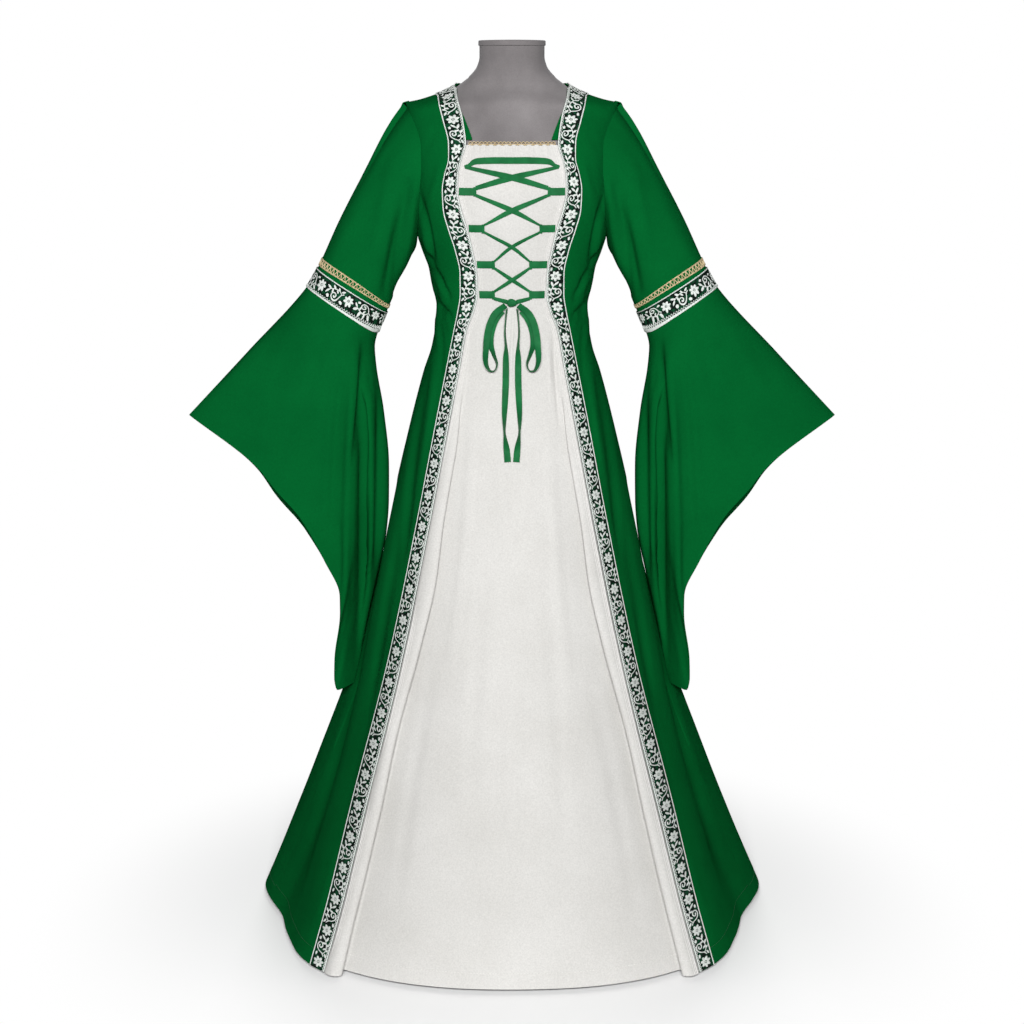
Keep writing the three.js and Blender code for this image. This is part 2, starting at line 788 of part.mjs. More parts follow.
function armholeTurns() {
  const front = FRONT_ROWS.filter((height) => height >= UNDERARM).map(frontTurn);
  const behind = [0, ...BACK_STEPS];
  const frontTurns = front.map((t) => ({ turn: 180 * (1 - t), t, behind: false }));
  const backTurns = behind.map((t) => ({ turn: 180 * (1 + t), t, behind: true }));
  return [...frontTurns.reverse(), ...backTurns.slice(1, -1)];
}

function armholePoint({ t, behind }) {
  const place = armholePlace(t, behind);
  return behind ? onMain(place.azimuth, place.height) : spot(place);
}

function upperPoint(along, station) {
  const base = tubePoint(along, station.turn);
  const shift = armholePoint(station).sub(tubePoint(0, station.turn));
  return base.addScaledVector(shift, 1 - ease(along / ARMHOLE_BLEND));
}

// The cap of the sleeve starts clear of the body's edge, further where they meet at a bend.
const CAP_GAP = 0.4;
const CAP_BEND = 1.3;

function upperRows() {
  const stations = armholeTurns();
  const rows = UPPER_STEPS.map((along) => stations.map((station) => upperPoint(along, station)));
  rows[0] = stations.map((station, i) => {
    const away = rows[1][i].clone().sub(rows[0][i]).normalize();
    const bend = Math.max(0, Math.cos(radians(station.turn))) ** 2;
    return rows[0][i].clone().addScaledVector(away, CAP_GAP + CAP_BEND * bend);
  });
  const last = rows.length - 1;
  rows[last] = rows[last].map((p, i) => {
    const back = rows[last - 1][i].clone().sub(p).normalize();
    return p.clone().addScaledVector(back, SEAM / 2);
  });
  return rows;
}

// Bell: the front view is filled in between its four lines, and the depth follows.
function bellView(along, across) {
  const line = (curve, t) => point(curve("side", t), 0, curve("height", t));
  const top = line(BELL_OUTER, 0).lerp(line(BELL_INNER, 0), across);
  const hem = line(BELL_HEM, across);
  const outer = line(BELL_OUTER, along);
  const inner = line(BELL_INNER, along);
  const corners = line(BELL_OUTER, 0).lerp(line(BELL_INNER, 0), across)
    .lerp(line(BELL_HEM, 0).lerp(line(BELL_HEM, 1), across), along);
  return top.lerp(hem, along).add(outer.lerp(inner, across)).sub(corners);
}

function bellFold(p, layer) {
  let sum = 0;
  for (const fold of BELL_FOLDS) {
    if (fold.layer !== layer || p.z > fold.height) continue;
    const t = (fold.height - p.z) / (fold.height - fold.toHeight);
    const near = bump((p.x - mix(fold.side, fold.toSide, t)) / fold.half);
    sum += fold.depth * near * ease((fold.height - p.z) / FOLD_RUN_IN);
  }
  return sum;
}

function bellPoint(along, across, layer) {
  const p = bellView(along, across);
  const sine = 2 * Math.sqrt(Math.max(0, across * (1 - across)));
  const depth = BELL_DEPTH("depth", along) * sine ** BELL_DEPTH("power", along);
  const fold = bellFold(p, layer) * Math.min(1, depth / 25);
  const sign = layer === "front" ? -1 : 1;
  const back = BELL_DEPTH("back", along) * across;
  if (layer === "back") p.z -= BACK_HEM_DROP * along ** 3 * bump((across - 0.37) / 0.2);
  p.y = back + sign * (depth + fold);
  const tilt = ease(along / 0.3) * p.y / EYE_AWAY;
  p.x *= 1 + tilt;
  p.z -= (EYE_LEVEL - p.z) * tilt;
  return p;
}

function bellRing(along) {
  const front = BELL_ACROSS.map((across) => bellPoint(along, across, "front"));
  const behind = BELL_BEHIND.map((across) => bellPoint(along, across, "back"));
  return [...front, ...behind];
}

function bellRows() {
  const rows = BELL_STEPS.map(bellRing);
  const down = rows[1][0].clone().sub(rows[0][0]).normalize();
  rows[0] = rows[0].map((p) => p.clone().addScaledVector(down, SEAM / 2));
  return rows;
}

// A trim wound round the sleeve, from one place along it to another.
function windPoint(along, turn) {
  if (along <= 1) return tubePoint(along, turn);
  const across = (1 - Math.cos(radians(turn))) / 2;
  return bellPoint(along - 1, across, turn <= 180 ? "front" : "back");
}

function woundRows(stops) {
  return stops.map((along) => {
    const row = [];
    for (let i = 0; i < WIND_SIDES; i += 1) row.push(windPoint(along, (360 * i) / WIND_SIDES));
    return row;
  });
}

// Crochet edging inside the white neckline, scalloped along its top
const EDGING = { side: 60, from: 1299, to: 1320, columns: 18, wave: 1.2, thick: 1 };

function neckCrochet() {
  const rows = [EDGING.from, NECK_FRONT, EDGING.to].map((height, i) => {
    const row = [];
    for (let j = 0; j <= EDGING.columns; j += 1) {
      const side = mix(-EDGING.side, EDGING.side, j / EDGING.columns);
      const level = height + (i === 2 && j % 2 ? EDGING.wave : 0);
      const azimuth = frontAzimuth(Math.abs(side), height);
      const p = onMain(azimuth, height);
      p.x = side;
      p.z = level;
      row.push(p);
    }
    return row;
  });
  const raise = -CLOTH - LAY - GATHER.depth / 2;
  return sheet(rows, { thick: EDGING.thick, raise });
}

// Ribbons: flat strips along a route. Each stop has its place, the direction of its width,
// the direction of its thickness and its width there.
function ribbon(stops) {
  const inner = stops.map(({ at, across, wide }) => {
    const side = across.clone().normalize().multiplyScalar(wide / 2);
    return [at.clone().sub(side), at.clone().add(side)];
  });
  const outer = inner.map((row, i) =>
    row.map((p) => p.clone().addScaledVector(stops[i].out, LACE_THICK)),
  );
  return wallGeometry(outer, inner, false);
}

const whiteRows = new Map();

function rowDepth(height, side) {
  if (!whiteRows.has(height)) whiteRows.set(height, whiteHalfRow(height));
  const row = whiteRows.get(height);
  const i = Math.max(1, row.findIndex((p) => p.x >= side));
  return mix(row[i - 1].y, row[i].y, (side - row[i - 1].x) / (row[i].x - row[i - 1].x));
}

// A place on the white panel's own facets
function flatPanel(side, height) {
  const i = Math.max(1, FRONT_ROWS.findIndex((row) => row >= height));
  const [low, high] = [FRONT_ROWS[i - 1], FRONT_ROWS[i]];
  const across = Math.abs(side);
  const t = (height - low) / (high - low);
  return point(side, mix(rowDepth(low, across), rowDepth(high, across), t), height);
}

function panelNormal(side, height) {
  const step = 3;
  const right = flatPanel(side + step, height).sub(flatPanel(side - step, height));
  const up = flatPanel(side, height + step).sub(flatPanel(side, height - step));
  return right.cross(up).normalize();
}

function onPanel(side, height, out) {
  return flatPanel(side, height).addScaledVector(panelNormal(side, height), out);
}

// A ribbon over the white panel between two places, lifted around the middle to cross.
const LACE_STEPS = 8;

function panelRibbon(from, to, base, lift) {
  const way = point(to.side - from.side, 0, to.height - from.height);
  const stops = [];
  for (let i = 0; i <= LACE_STEPS; i += 1) {
    const t = i / LACE_STEPS;
    const side = mix(from.side, to.side, t);
    const height = mix(from.height, to.height, t);
    const out = panelNormal(side, height);
    const raised = base + lift * ease((0.5 - Math.abs(t - 0.5)) / 0.25);
    const at = onPanel(side, height, raised);
    stops.push({ at, across: out.clone().cross(way), out, wide: mix(from.wide, to.wide, t) });
  }
  return ribbon(stops);
}

function laceTab({ height, from, to }) {
  const stops = [from, mix(from, to, 0.5), to].map((side) => {
    const out = panelNormal(side, height);
    const across = out.clone().cross(point(1, 0, 0));
    return { at: onPanel(side, height, ON_PANEL), across, out, wide: TAB_TALL };
  });
  return ribbon(stops);
}

function addCrossing(number, a, b) {
  const swap = number % 2 ? 1 : -1; // the lace that runs over changes side at each crossing
  const top = { side: a.side * swap, height: a.low, wide: a.wide };
  const low = { side: -b.side * swap, height: b.high, wide: b.wideEnd };
  const opposite = (place) => ({ ...place, side: -place.side });
  add(garment, `lace_under_${number}`, panelRibbon(top, low, ON_PANEL, 0), RIBBON);
  const over = panelRibbon(opposite(top), opposite(low), ON_PANEL, OVER);
  add(garment, `lace_over_${number}`, over, RIBBON);
}

function addLacing() {
  TAB_ROWS.forEach((row, i) => {
    addPair(garment, `lace_tab_${i + 1}`, laceTab(row), RIBBON);
  });
  const end = (side) => ({ side, height: LACE_TOP.bar, wide: LACE_WIDE });
  add(garment, "lace_bar", panelRibbon(end(-LACE_TOP.side), end(LACE_TOP.side), ON_PANEL, 0),
    RIBBON);
  const stations = [
    { side: LACE_TOP.side - 1, low: LACE_TOP.first, wide: LACE_WIDE },
    ...TAB_ROWS.map(({ height, to, wide, wideEnd }) => ({
      side: to - TAB_CLEAR,
      high: height + LACE_APART,
      low: height - LACE_APART,
      wide,
      wideEnd,
    })),
  ];
  for (let i = 0; i < TAB_ROWS.length; i += 1) {
    addCrossing(i + 1, stations[i], stations[i + 1]);
  }
}

// Bow: two short ties reach the knot, two loops hang from it, and two tails end free.
function addBow() {
  const last = TAB_ROWS[TAB_ROWS.length - 1];
  const tie = (from, to) => panelRibbon(from, to, TIE.out, 0);
  addPair(garment, "lace_tie", tie(
    { side: last.to - TAB_CLEAR, height: last.height - LACE_APART, wide: TIE.wide },
    { side: TIE.end, height: KNOT.height + 1, wide: TIE.wide },
  ), RIBBON);
  const knot = new THREE.SphereGeometry(0.5, 10, 8);
  knot.scale(KNOT.wide, KNOT.deep, KNOT.tall);
  const seat = onPanel(0, KNOT.height, KNOT.out + KNOT.deep / 2);
  knot.translate(seat.x, seat.y, seat.z);
  add(garment, "lace_knot", knot, RIBBON);
  addPair(garment, "lace_loop", route(LOOP), RIBBON);
  addPair(garment, "lace_tail", route(TAIL), RIBBON);
}

// A hanging ribbon: side, height, distance off the panel, and how far it is turned flat.
function route(rows) {
  const places = rows.map(({ side, height, out }) => onPanel(side, height, out));
  const curve = new THREE.CatmullRomCurve3(places);
  const turns = new THREE.CatmullRomCurve3(rows.map(({ flat }, i) => point(i, flat, 0)));
  const steps = rows.length * 2;
  const stops = [];
  for (let i = 0; i <= steps; i += 1) {
    const t = i / steps;
    const at = curve.getPoint(t);
    const way = curve.getTangent(t);
    const normal = panelNormal(at.x, at.z);
    const level = normal.clone().cross(way).normalize();
    const facing = way.clone().cross(level).normalize();
    const turn = radians(turns.getPoint(t).y);
    const across = level.multiplyScalar(Math.sin(turn)).addScaledVector(facing, Math.cos(turn));
    stops.push({ at, across, out: way.clone().cross(across).normalize(), wide: LACE_WIDE });
  }
  return ribbon(stops);
}

// The form is smooth and stands clear of the cloth except where it carries the shoulders.
function formPoint(azimuth, height) {
  if (height < PLEAT_TOP + 3) {
    const turn = radians(azimuth);
    const depth = HIPS(Math.cos(turn) > 0 ? "front" : "back", height);
    const across = Math.sin(turn) / HIPS("side", height);
    return placed(azimuth, height, Math.hypot(across, Math.cos(turn) / depth) ** -1);
  }
  const at = (a, h) => placed(a, h, ringRadius(a, h));
  const right = at(azimuth + 1, height).sub(at(azimuth - 1, height));
  const up = at(azimuth, height + 1).sub(at(azimuth, height - 1));
  const normal = right.cross(up).normalize();
  return at(azimuth, height).addScaledVector(normal, -FORM_BENEATH("gap", height));
}

function formTorso() {
  const rings = FORM_ROWS.map((height) => {
    const ring = [];
    for (let i = 0; i < FORM_SIDES; i += 1) {
      ring.push(formPoint((360 * i) / FORM_SIDES, height));
    }
    return ring;
  });
  return closedLoft(rings);
}

function closedLoft(rings) {
  const wide = rings[0].length;
  const positions = [];
  const indices = [];
  for (const ring of rings) for (const p of ring) positions.push(p.x, p.y, p.z);
  for (let i = 0; i < rings.length - 1; i += 1) {
    for (let j = 0; j < wide; j += 1) {
      const [a, b] = [i * wide + j, i * wide + ((j + 1) % wide)];
      indices.push(a, b, b + wide, a, b + wide, a + wide);
    }
  }
  [0, rings.length - 1].forEach((i) => {
    const middle = positions.length / 3;
    positions.push(0, 0, rings[i][0].z);
    for (let j = 0; j < wide; j += 1) {
      const [a, b] = [i * wide + j, i * wide + ((j + 1) % wide)];
      indices.push(middle, i ? a : b, i ? b : a);
    }
  });
  const geometry = new THREE.BufferGeometry();
  geometry.setAttribute("position", new THREE.Float32BufferAttribute(positions, 3));
  geometry.setIndex(indices);
  return geometry;
}

// A disc with rounded edges, turned about the pole's axis, standing on its flat face.
function disc(radius, thick, edge, sides, dome = 0) {
  const profile = [
    [0, 0],
    [radius - edge / 2, 0],
    [radius, edge / 2],
    [radius, thick - edge],
    [radius - edge * 0.3, thick - edge * 0.3],
    [radius - edge, thick],
    [0, thick + dome],
  ].map(([x, y]) => new THREE.Vector2(x, y));
  return new THREE.LatheGeometry(profile, sides).rotateX(Math.PI / 2);
}

function addStand() {
  add(stand, "form_torso", formTorso(), SUEDE);
  const cap = disc(CAP.radius, CAP.thick, CAP.edge, FORM_SIDES, CAP.dome);
  add(stand, "form_neck_cap", cap.translate(0, CAP.back, NECK_TOP + SEAM), SUEDE);
  const tall = FORM_BOTTOM - BASE.thick - 2 * SEAM;
  const pole = new THREE.CylinderGeometry(POLE.radius, POLE.radius, tall, POLE.sides);
  pole.rotateX(Math.PI / 2).translate(0, 0, BASE.thick + SEAM + tall / 2);
  add(stand, "form_pole", pole, STEEL);
  add(stand, "form_base", disc(BASE.radius, BASE.thick, BASE.edge, BASE.sides), STEEL);
}

function addGarment() {
  add(garment, "white_front", whitePanel(), WHITE);
  addSheetPair(garment, "green_front", FRONT_ROWS.map(frontRow), GREEN);
  add(garment, "green_back", backPanel(), GREEN);
  addSheetPair(garment, "neck_turning", turningRows(), GREEN, TURNED_IN);
  add(garment, "neck_crochet", neckCrochet(), CROCHET);
  addSheetPair(garment, "front_braid", FRONT_ROWS.map(braidRow), JACQUARD, ON_BRAID);
  addSheetPair(garment, "sleeve_upper", upperRows(), GREEN, ROUND);
  addSheetPair(garment, "sleeve_bell", bellRows(), GREEN, ROUND);
  addSheetPair(garment, "sleeve_crochet", woundRows(CROCHET_STOPS), CROCHET, WOUND);
  addSheetPair(garment, "sleeve_band", woundRows(BAND_STOPS), JACQUARD, WOUND);
  addLacing();
  addBow();
}

addStand();
addGarment();

export default dress;
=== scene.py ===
# Renaissance costume dress on a limbless dress form: the looks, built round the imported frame.
# Sizes are in millimetres and each finished mesh is in metres. +Z is up, the front faces -Y.
import math

import bpy
import numpy as np
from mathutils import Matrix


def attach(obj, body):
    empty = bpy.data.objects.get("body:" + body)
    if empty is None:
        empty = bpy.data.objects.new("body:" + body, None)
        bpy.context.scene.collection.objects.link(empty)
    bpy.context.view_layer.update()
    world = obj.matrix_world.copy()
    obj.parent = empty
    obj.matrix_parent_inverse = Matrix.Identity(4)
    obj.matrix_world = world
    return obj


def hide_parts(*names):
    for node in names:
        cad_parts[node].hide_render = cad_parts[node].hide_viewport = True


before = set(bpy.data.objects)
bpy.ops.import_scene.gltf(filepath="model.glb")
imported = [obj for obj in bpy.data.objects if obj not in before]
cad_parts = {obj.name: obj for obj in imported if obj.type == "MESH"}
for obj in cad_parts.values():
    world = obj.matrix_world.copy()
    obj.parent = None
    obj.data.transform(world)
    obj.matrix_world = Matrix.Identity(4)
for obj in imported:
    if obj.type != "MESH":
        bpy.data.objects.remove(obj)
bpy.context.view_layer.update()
scene = bpy.context.scene

# Cloth, trim and gaps, as in the part's source
CLOTH = 1.5
TRIM = 1.1
SEAM = 0.3
LAY = 0.4
WIND = 0.75
SHOULDER_GAP = 3.3

# Heights of the garment
HEM = 8
UNDERARM = 1165
NECK_FRONT = 1313
NECK_TURN = 1318
LAST_LEVEL = 1393  # above this the rows turn into the shoulder seam
BRAID_TOP = 1399
SHOULDER_TIP = 1375
NECK_POINT = 1408
PLEAT_TOP = 1042
FORM_BOTTOM = 800

GRAIN = 6.0  # spacing of the points of a cloth piece


def mix(a, b, t):
    return a + (b - a) * t


def ease(t):
    c = np.clip(t, 0.0, 1.0)
    return c * c * (3 - 2 * c)


def bump(t):
    return np.where(np.abs(t) < 1, np.cos(np.clip(t, -1, 1) * np.pi / 2) ** 2, 0.0)


def table(names, *rows):
    """Reads a table between its rows by a smooth curve that never overshoots them"""
    columns = np.array(rows, float).T
    keys = columns[0]
    curves = {}
    for name, values in zip(names[1:], columns[1:]):
        rise = np.diff(values) / np.diff(keys)
        slope = np.zeros(len(keys))
        slope[0], slope[-1] = rise[0], rise[-1]
        for i in range(1, len(keys) - 1):
            if rise[i - 1] * rise[i] > 0:
                slope[i] = 2 * rise[i - 1] * rise[i] / (rise[i - 1] + rise[i])
        curves[name] = (values, slope)

    def read(name, key):
        values, slope = curves[name]
        key = np.clip(np.asarray(key, float), keys[0], keys[-1])
        i = np.clip(np.searchsorted(keys, key, "right") - 1, 0, len(keys) - 2)
        span = keys[i + 1] - keys[i]
        t = (key - keys[i]) / span
        a = values[i] * (1 + 2 * t) * (1 - t) ** 2 + slope[i] * span * t * (1 - t) ** 2
        return a + values[i + 1] * t * t * (3 - 2 * t) + slope[i + 1] * span * t * t * (t - 1)

    return read


BODY = table(
    ["height", "side", "front", "back", "square"],
    [8, 403, 365, 364, 2.3],
    [110, 362, 337, 336, 2.25],
    [250, 314, 299, 294, 2.2],
    [350, 283, 271, 264, 2.15],
    [430, 262, 249, 240, 2.1],
    [560, 235, 214, 198, 2.1],
    [681, 210, 180, 162, 2.1],
    [833, 175, 138, 128, 2.1],
    [940, 147, 108, 102, 2.15],
    [990, 131, 98, 84, 2.2],
    [1045, 124, 91, 68, 2.2],
    [1090, 133, 95, 73, 2.2],
    [1113, 137, 99, 77, 2.25],
    [1140, 147, 105, 82, 2.3],
    [1165, 154, 111, 88, 2.4],
    [1200, 156, 119, 94, 2.5],
    [1240, 158, 123, 99, 2.6],
    [1277, 160, 117, 102, 2.5],
    [1310, 162, 108, 103, 2.4],
    [1335, 166, 98, 101, 2.3],
    [1360, 171, 83, 94, 2.1],
    [1375, 176, 74, 87, 2],
    [1383, 146, 68, 81, 2],
    [1392, 119, 61, 74, 2],
    [1400, 101, 55, 68, 2],
    [1408, 87, 52, 63, 2],
    [1420, 72, 52, 60, 2],
    [1436, 59, 51.5, 57, 2],
    [1450, 55.5, 51, 56, 2],
    [1466, 55.5, 51, 56, 2],
)
BRAID = table(
    ["height", "inner", "outer"],
    [8, 302, 328],
    [110, 273, 299],
    [250, 238, 264],
    [490, 178, 201],
    [716, 131, 153],
    [875, 100, 122],
    [955, 84, 106],
    [1020, 72, 93],
    [1048, 61, 87.5],
    [1078, 54.6, 83.5],
    [1110, 55.5, 83.5],
    [1147, 62, 90.5],
    [1184, 70.5, 102],
    [1213, 79.5, 109],
    [1244, 85, 110],
    [1268, 84, 106],
    [1292, 78.5, 100],
    [1315, 72, 100.5],
    [1350, 77, 109],
    [1392, 88, 119],
    [1402, 88, 121],
)
PLEAT = table(
    ["height", "width", "proud"],
    [8, 21, 28],
    [130, 18, 26],
    [245, 18, 24],
    [376, 14, 22],
    [530, 20, 19],
    [610, 23, 17],
    [730, 17, 14.5],
    [867, 15, 10.5],
    [955, 11, 6.5],
    [1000, 7, 3],
    [1042, 4, 0],
    [1402, 4, 0],
)
# Large folds of the skirt: azimuths at the hem and at the top, start height, depth, half
# width in degrees, and the share of the depth that is left at the hem
FOLDS = [
    (57, 82, 820, 6, 13, 1),
    (76, 91, 760, -25, 11, 0.15),
    (103, 117, 650, 45, 26, 1),
    (129, 126, 560, -20, 13, 1),
    (147, 141, 700, 20, 14, 1),
    (164, 160, 620, -14, 10, 1),
    (180, 180, 760, 16, 13, 1),
]
LIFT_SPREAD = 25
ARMHOLE = table(
    ["height", "side"],
    [1165, 154],
    [1200, 151],
    [1240, 147.5],
    [1277, 144.5],
    [1310, 145],
    [1331, 150],
    [1350, 158],
    [1365, 167],
    [1375, 176],
)
NECK_BACK = 1397
NECK_SHARE = 0.5  # share of the back's top edge that is its neck
UPPER = table(
    ["along", "outer_side", "outer_height", "inner_side", "inner_height", "depth"],
    [0, 176, 1375, 154, 1165, 58],
    [0.1, 196.5, 1347, 158, 1148, 58],
    [0.4, 242, 1264, 178, 1106, 57],
    [0.7, 281.5, 1190, 196, 1065, 53],
    [0.93, 318.5, 1112, 209, 1034, 49],
    [1, 327.6, 1095.5, 213.4, 1024, 48],
)
ARMHOLE_BLEND = 0.6  # share of the sleeve that leads from the armhole to a plain tube
CAP_GAP = 0.4
CAP_TUCK = 1.5  # how much nearer the sleeve's top is to the shoulder's tip
BELL_OUTER = table(
    ["along", "side", "height"],
    [0, 327.6, 1095.5],
    [0.055, 337, 1081],
    [0.5, 435, 976],
    [1, 538.5, 867],
)
BELL_INNER = table(
    ["along", "side", "height"],
    [0, 213.4, 1024],
    [0.03, 220.7, 1008],
    [0.075, 227, 981],
    [0.12, 225, 951],
    [0.24, 213.5, 875],
    [0.38, 206, 785],
    [0.48, 207, 722],
    [0.56, 211, 673],
    [0.68, 226, 600],
    [0.83, 247, 510],
    [1, 270, 402],
)
BELL_HEM = table(
    ["along", "side", "height"],
    [0, 538.5, 867],
    [0.23, 427, 777],
    [0.31, 398, 739],
    [0.415, 357, 690],
    [0.55, 317, 615],
    [0.665, 292, 551],
    [0.7, 292, 527],
    [0.85, 303, 440],
    [0.9, 304, 407],
    [0.933, 299, 388],
    [1, 270, 402],
)
BELL_DEPTH = table(
    ["along", "depth", "power", "back"],
    [0, 48, 1, 0],
    [0.3, 60, 1.15, 2],
    [0.7, 68, 1.3, 6],
    [1, 66, 1.4, 8],
)
# Folds that hang from the elbow: layer, side and height of both ends, half width, depth
BELL_FOLDS = [
    ("front", 233, 950, 242, 400, 10, 9),
    ("front", 247, 965, 264, 400, 11, -13),
    ("front", 262, 985, 287, 420, 20, 8),
    ("back", 245, 940, 252, 400, 16, 10),
    ("back", 270, 960, 280, 400, 17, -11),
    ("back", 330, 900, 350, 650, 28, 7),
]
FOLD_RUN_IN = 160
FOLD_DEPTH = 25  # where the bell is flatter than this, its folds are shallower
BACK_HEM_DROP = 9
DROP_PLACE = {"at": 0.37, "half": 0.2}  # shares of the way across the bell
# The eye from which the bell's outline was read, as the camera stands
EYE_LEVEL = 1420
EYE_AWAY = 3300
# Edges of the sleeve's trims along it: on its outer line, and on its inner line
BAND = {"outer": (0.93, 1.055), "inner": (0.89, 1.033)}
CROCHET = {"outer": (0.878, 0.915), "inner": (0.8, 0.845)}

# How far creases behind are moved to one side of those in front
CREASE_SHIFT = {"back": 6, "sleeve": 9, "bell": 11}
# Creases: side and height of both ends, half width, depth (in is negative)
# and how far the line bows sideways.
FRONT_CREASES = [
    (150, 1235, 128, 1118, 10, -9, 3),
    (152, 1158, 108, 1090, 7, -8, -3),
    (140, 1118, 98, 1066, 6, -7, 2),
    (134, 1084, 98, 1050, 6, 2.2, -2),
    (130, 1062, 92, 1030, 6, -6, 2),
    (126, 1030, 94, 1016, 6, 2.0, 2),
    (141, 1190, 118, 1062, 8, 2.2, -4),
    (134, 1142, 104, 1012, 9, -4.4, -6),
    (129, 1096, 108, 952, 9, 2.4, -5),
    (124, 1052, 112, 905, 8, -2.6, 4),
    (112, 1288, 136, 1212, 12, 1.6, 3),
    (119, 1338, 143, 1302, 9, -1.3, 2),
    (126, 1000, 152, 760, 11, 2.6, 5),
    (139, 948, 176, 640, 12, -5, -6),
    (133, 870, 196, 520, 15, 2.4, 8),
    (168, 760, 238, 330, 13, -3.0, -6),
    (190, 620, 262, 210, 17, 2.8, 7),
    (214, 430, 300, 70, 14, -2.6, -5),
    (240, 300, 340, 20, 18, 2.6, 6),
]
BACK_CREASES = [
    (30, 1330, 62, 1208, 13, 1.7, 4),
    (88, 1310, 120, 1196, 12, -2.2, -4),
    (54, 1150, 22, 1018, 10, -2.2, 5),
    (92, 1120, 50, 1000, 11, 2.4, -6),
    (120, 1080, 78, 968, 9, -2.8, 5),
    (24, 1040, 40, 815, 12, 2.4, 3),
    (70, 980, 96, 640, 14, -3.2, -6),
    (14, 830, 30, 430, 15, 2.8, 5),
    (96, 800, 160, 380, 16, 3.0, 7),
    (58, 600, 88, 160, 15, -3.4, -5),
    (150, 520, 224, 90, 18, 2.8, 6),
]
WHITE_CREASES = [
    (66, 1020, 77, 862, 5.5, -2.2, 1),
    (57, 1008, 62, 905, 5, 1.4, -1),
    (3, 1058, -2, 930, 4.5, -2.4, 1),
    (-26, 850, -8, 700, 14, 1.2, 3),
    (29, 838, 10, 690, 15, 1.2, -3),
    (0, 880, 0, 640, 9, -1.1, 0),
    (-62, 900, -104, 470, 15, 1.6, -6),
    (60, 880, 98, 420, 16, 1.5, 7),
    (-40, 700, -66, 250, 20, -1.6, 5),
    (48, 660, 84, 200, 19, -1.5, -6),
    (2, 560, 6, 120, 24, 1.3, 4),
    (-120, 520, -186, 110, 17, -1.6, 6),
    (126, 470, 200, 90, 18, -1.5, -5),
]
SLEEVE_CREASES = [
    (168, 1262, 205, 1064, 19, -14, 4),
    (178, 1200, 205, 1050, 8, 3, 2),
    (150, 1236, 184, 1090, 9, 2.0, 2),
    (187, 1300, 226, 1074, 16, 2.2, -5),
    (214, 1290, 262, 1120, 22, -1.5, 6),
    (196, 1338, 238, 1252, 14, 1.2, 3),
    (247, 1206, 300, 1108, 15, 1.2, -3),
]
BELL_CREASES = [
    (243, 1000, 262, 790, 9, -7, 5),
    (214, 960, 236, 440, 12, -15, 4),
    (229, 950, 240, 560, 6, 3.5, 3),
    (240, 975, 256, 480, 10, -13, 2),
    (207, 900, 207, 440, 10, -9, 2),
    (256, 985, 280, 520, 10, 3.5, -4),
    (274, 1000, 300, 600, 11, -3.2, -6),
    (268, 1012, 302, 800, 13, 2.0, -6),
    (300, 1040, 356, 860, 17, -1.6, 7),
    (336, 1040, 420, 900, 20, 1.3, -6),
    (300, 860, 322, 660, 15, 1.8, 5),
    (352, 900, 400, 770, 18, -1.5, 5),
    (286, 700, 292, 560, 9, -2.2, 3),
]


def ring_radius(azimuth, height):
    turn = np.radians(azimuth)
    depth = np.where(np.cos(turn) > 0, BODY("front", height), BODY("back", height))
    square = BODY("square", height)
    across = np.abs(np.sin(turn)) / BODY("side", height)
    along = np.abs(np.cos(turn)) / depth
    return (across ** square + along ** square) ** (-1 / square)


def main_radius(azimuth, height):
    azimuth, height = np.broadcast_arrays(np.asarray(azimuth, float), np.asarray(height, float))
    total = ring_radius(azimuth, height)
    for hem, top, start, depth, half, left in FOLDS:
        t = np.clip((height - HEM) / (start - HEM), 0, 1)
        near = bump((azimuth - mix(hem, top, t)) / half)
        total = total + depth * (1 - t * t) ** 0.8 * mix(left, 1, ease(2 * t)) * near
    return total


def solve(low, high, value, rising):
    """Finds where a rising function reaches a value, for a whole array at once"""
    a = np.full(np.shape(value), float(low))
    b = np.full(np.shape(value), float(high))
    for _ in range(36):
        middle = (a + b) / 2
        less = rising(middle) < value
        a = np.where(less, middle, a)
        b = np.where(less, b, middle)
    return (a + b) / 2


LEVELS = np.arange(0, 1480, 2.0)
PLEAT_LINE = solve(
    0, 89, BRAID("inner", LEVELS) - PLEAT("width", LEVELS),
    lambda a: (ring_radius(a, LEVELS) + PLEAT("proud", LEVELS)) * np.sin(np.radians(a)),
)


def pleat_azimuth(height):
    return np.interp(height, LEVELS, PLEAT_LINE)


def outer_radius(azimuth, height):
    past = np.maximum(0, azimuth - pleat_azimuth(height)) / LIFT_SPREAD
    return main_radius(azimuth, height) + PLEAT("proud", height) * (1 - ease(past))


ROUNDING = 26  # how far below its ridge the shoulder is rounded
BESIDE_NECK = (84, 96)  # sides between which the rounding begins


def shoulder_height(side):
    side = np.asarray(side, float)
    return solve(SHOULDER_TIP, NECK_POINT, -side, lambda h: -BODY("side", h))


def rounded_shoulder(point):
    """Draws points near the ridge of the shoulder in to a round section"""
    side, height = np.abs(point[..., 0]), point[..., 2]
    ridge = shoulder_height(side)
    below = ridge - ROUNDING
    depth = np.where(point[..., 1] < 0, BODY("front", below), BODY("back", below))
    square = BODY("square", below)
    share = np.clip(side / BODY("side", below), 0, 1)
    widest = depth * (1 - share ** square) ** (1 / square)
    t = np.clip((ridge - height) / ROUNDING, 0, 1)
    limit = widest * np.sqrt(1 - (1 - t) ** 2)
    drawn = np.sign(point[..., 1]) * np.minimum(np.abs(point[..., 1]), limit)
    near = ease((side - BESIDE_NECK[0]) / (BESIDE_NECK[1] - BESIDE_NECK[0])) * (height > below)
    point[..., 1] = mix(point[..., 1], drawn, near)
    return point


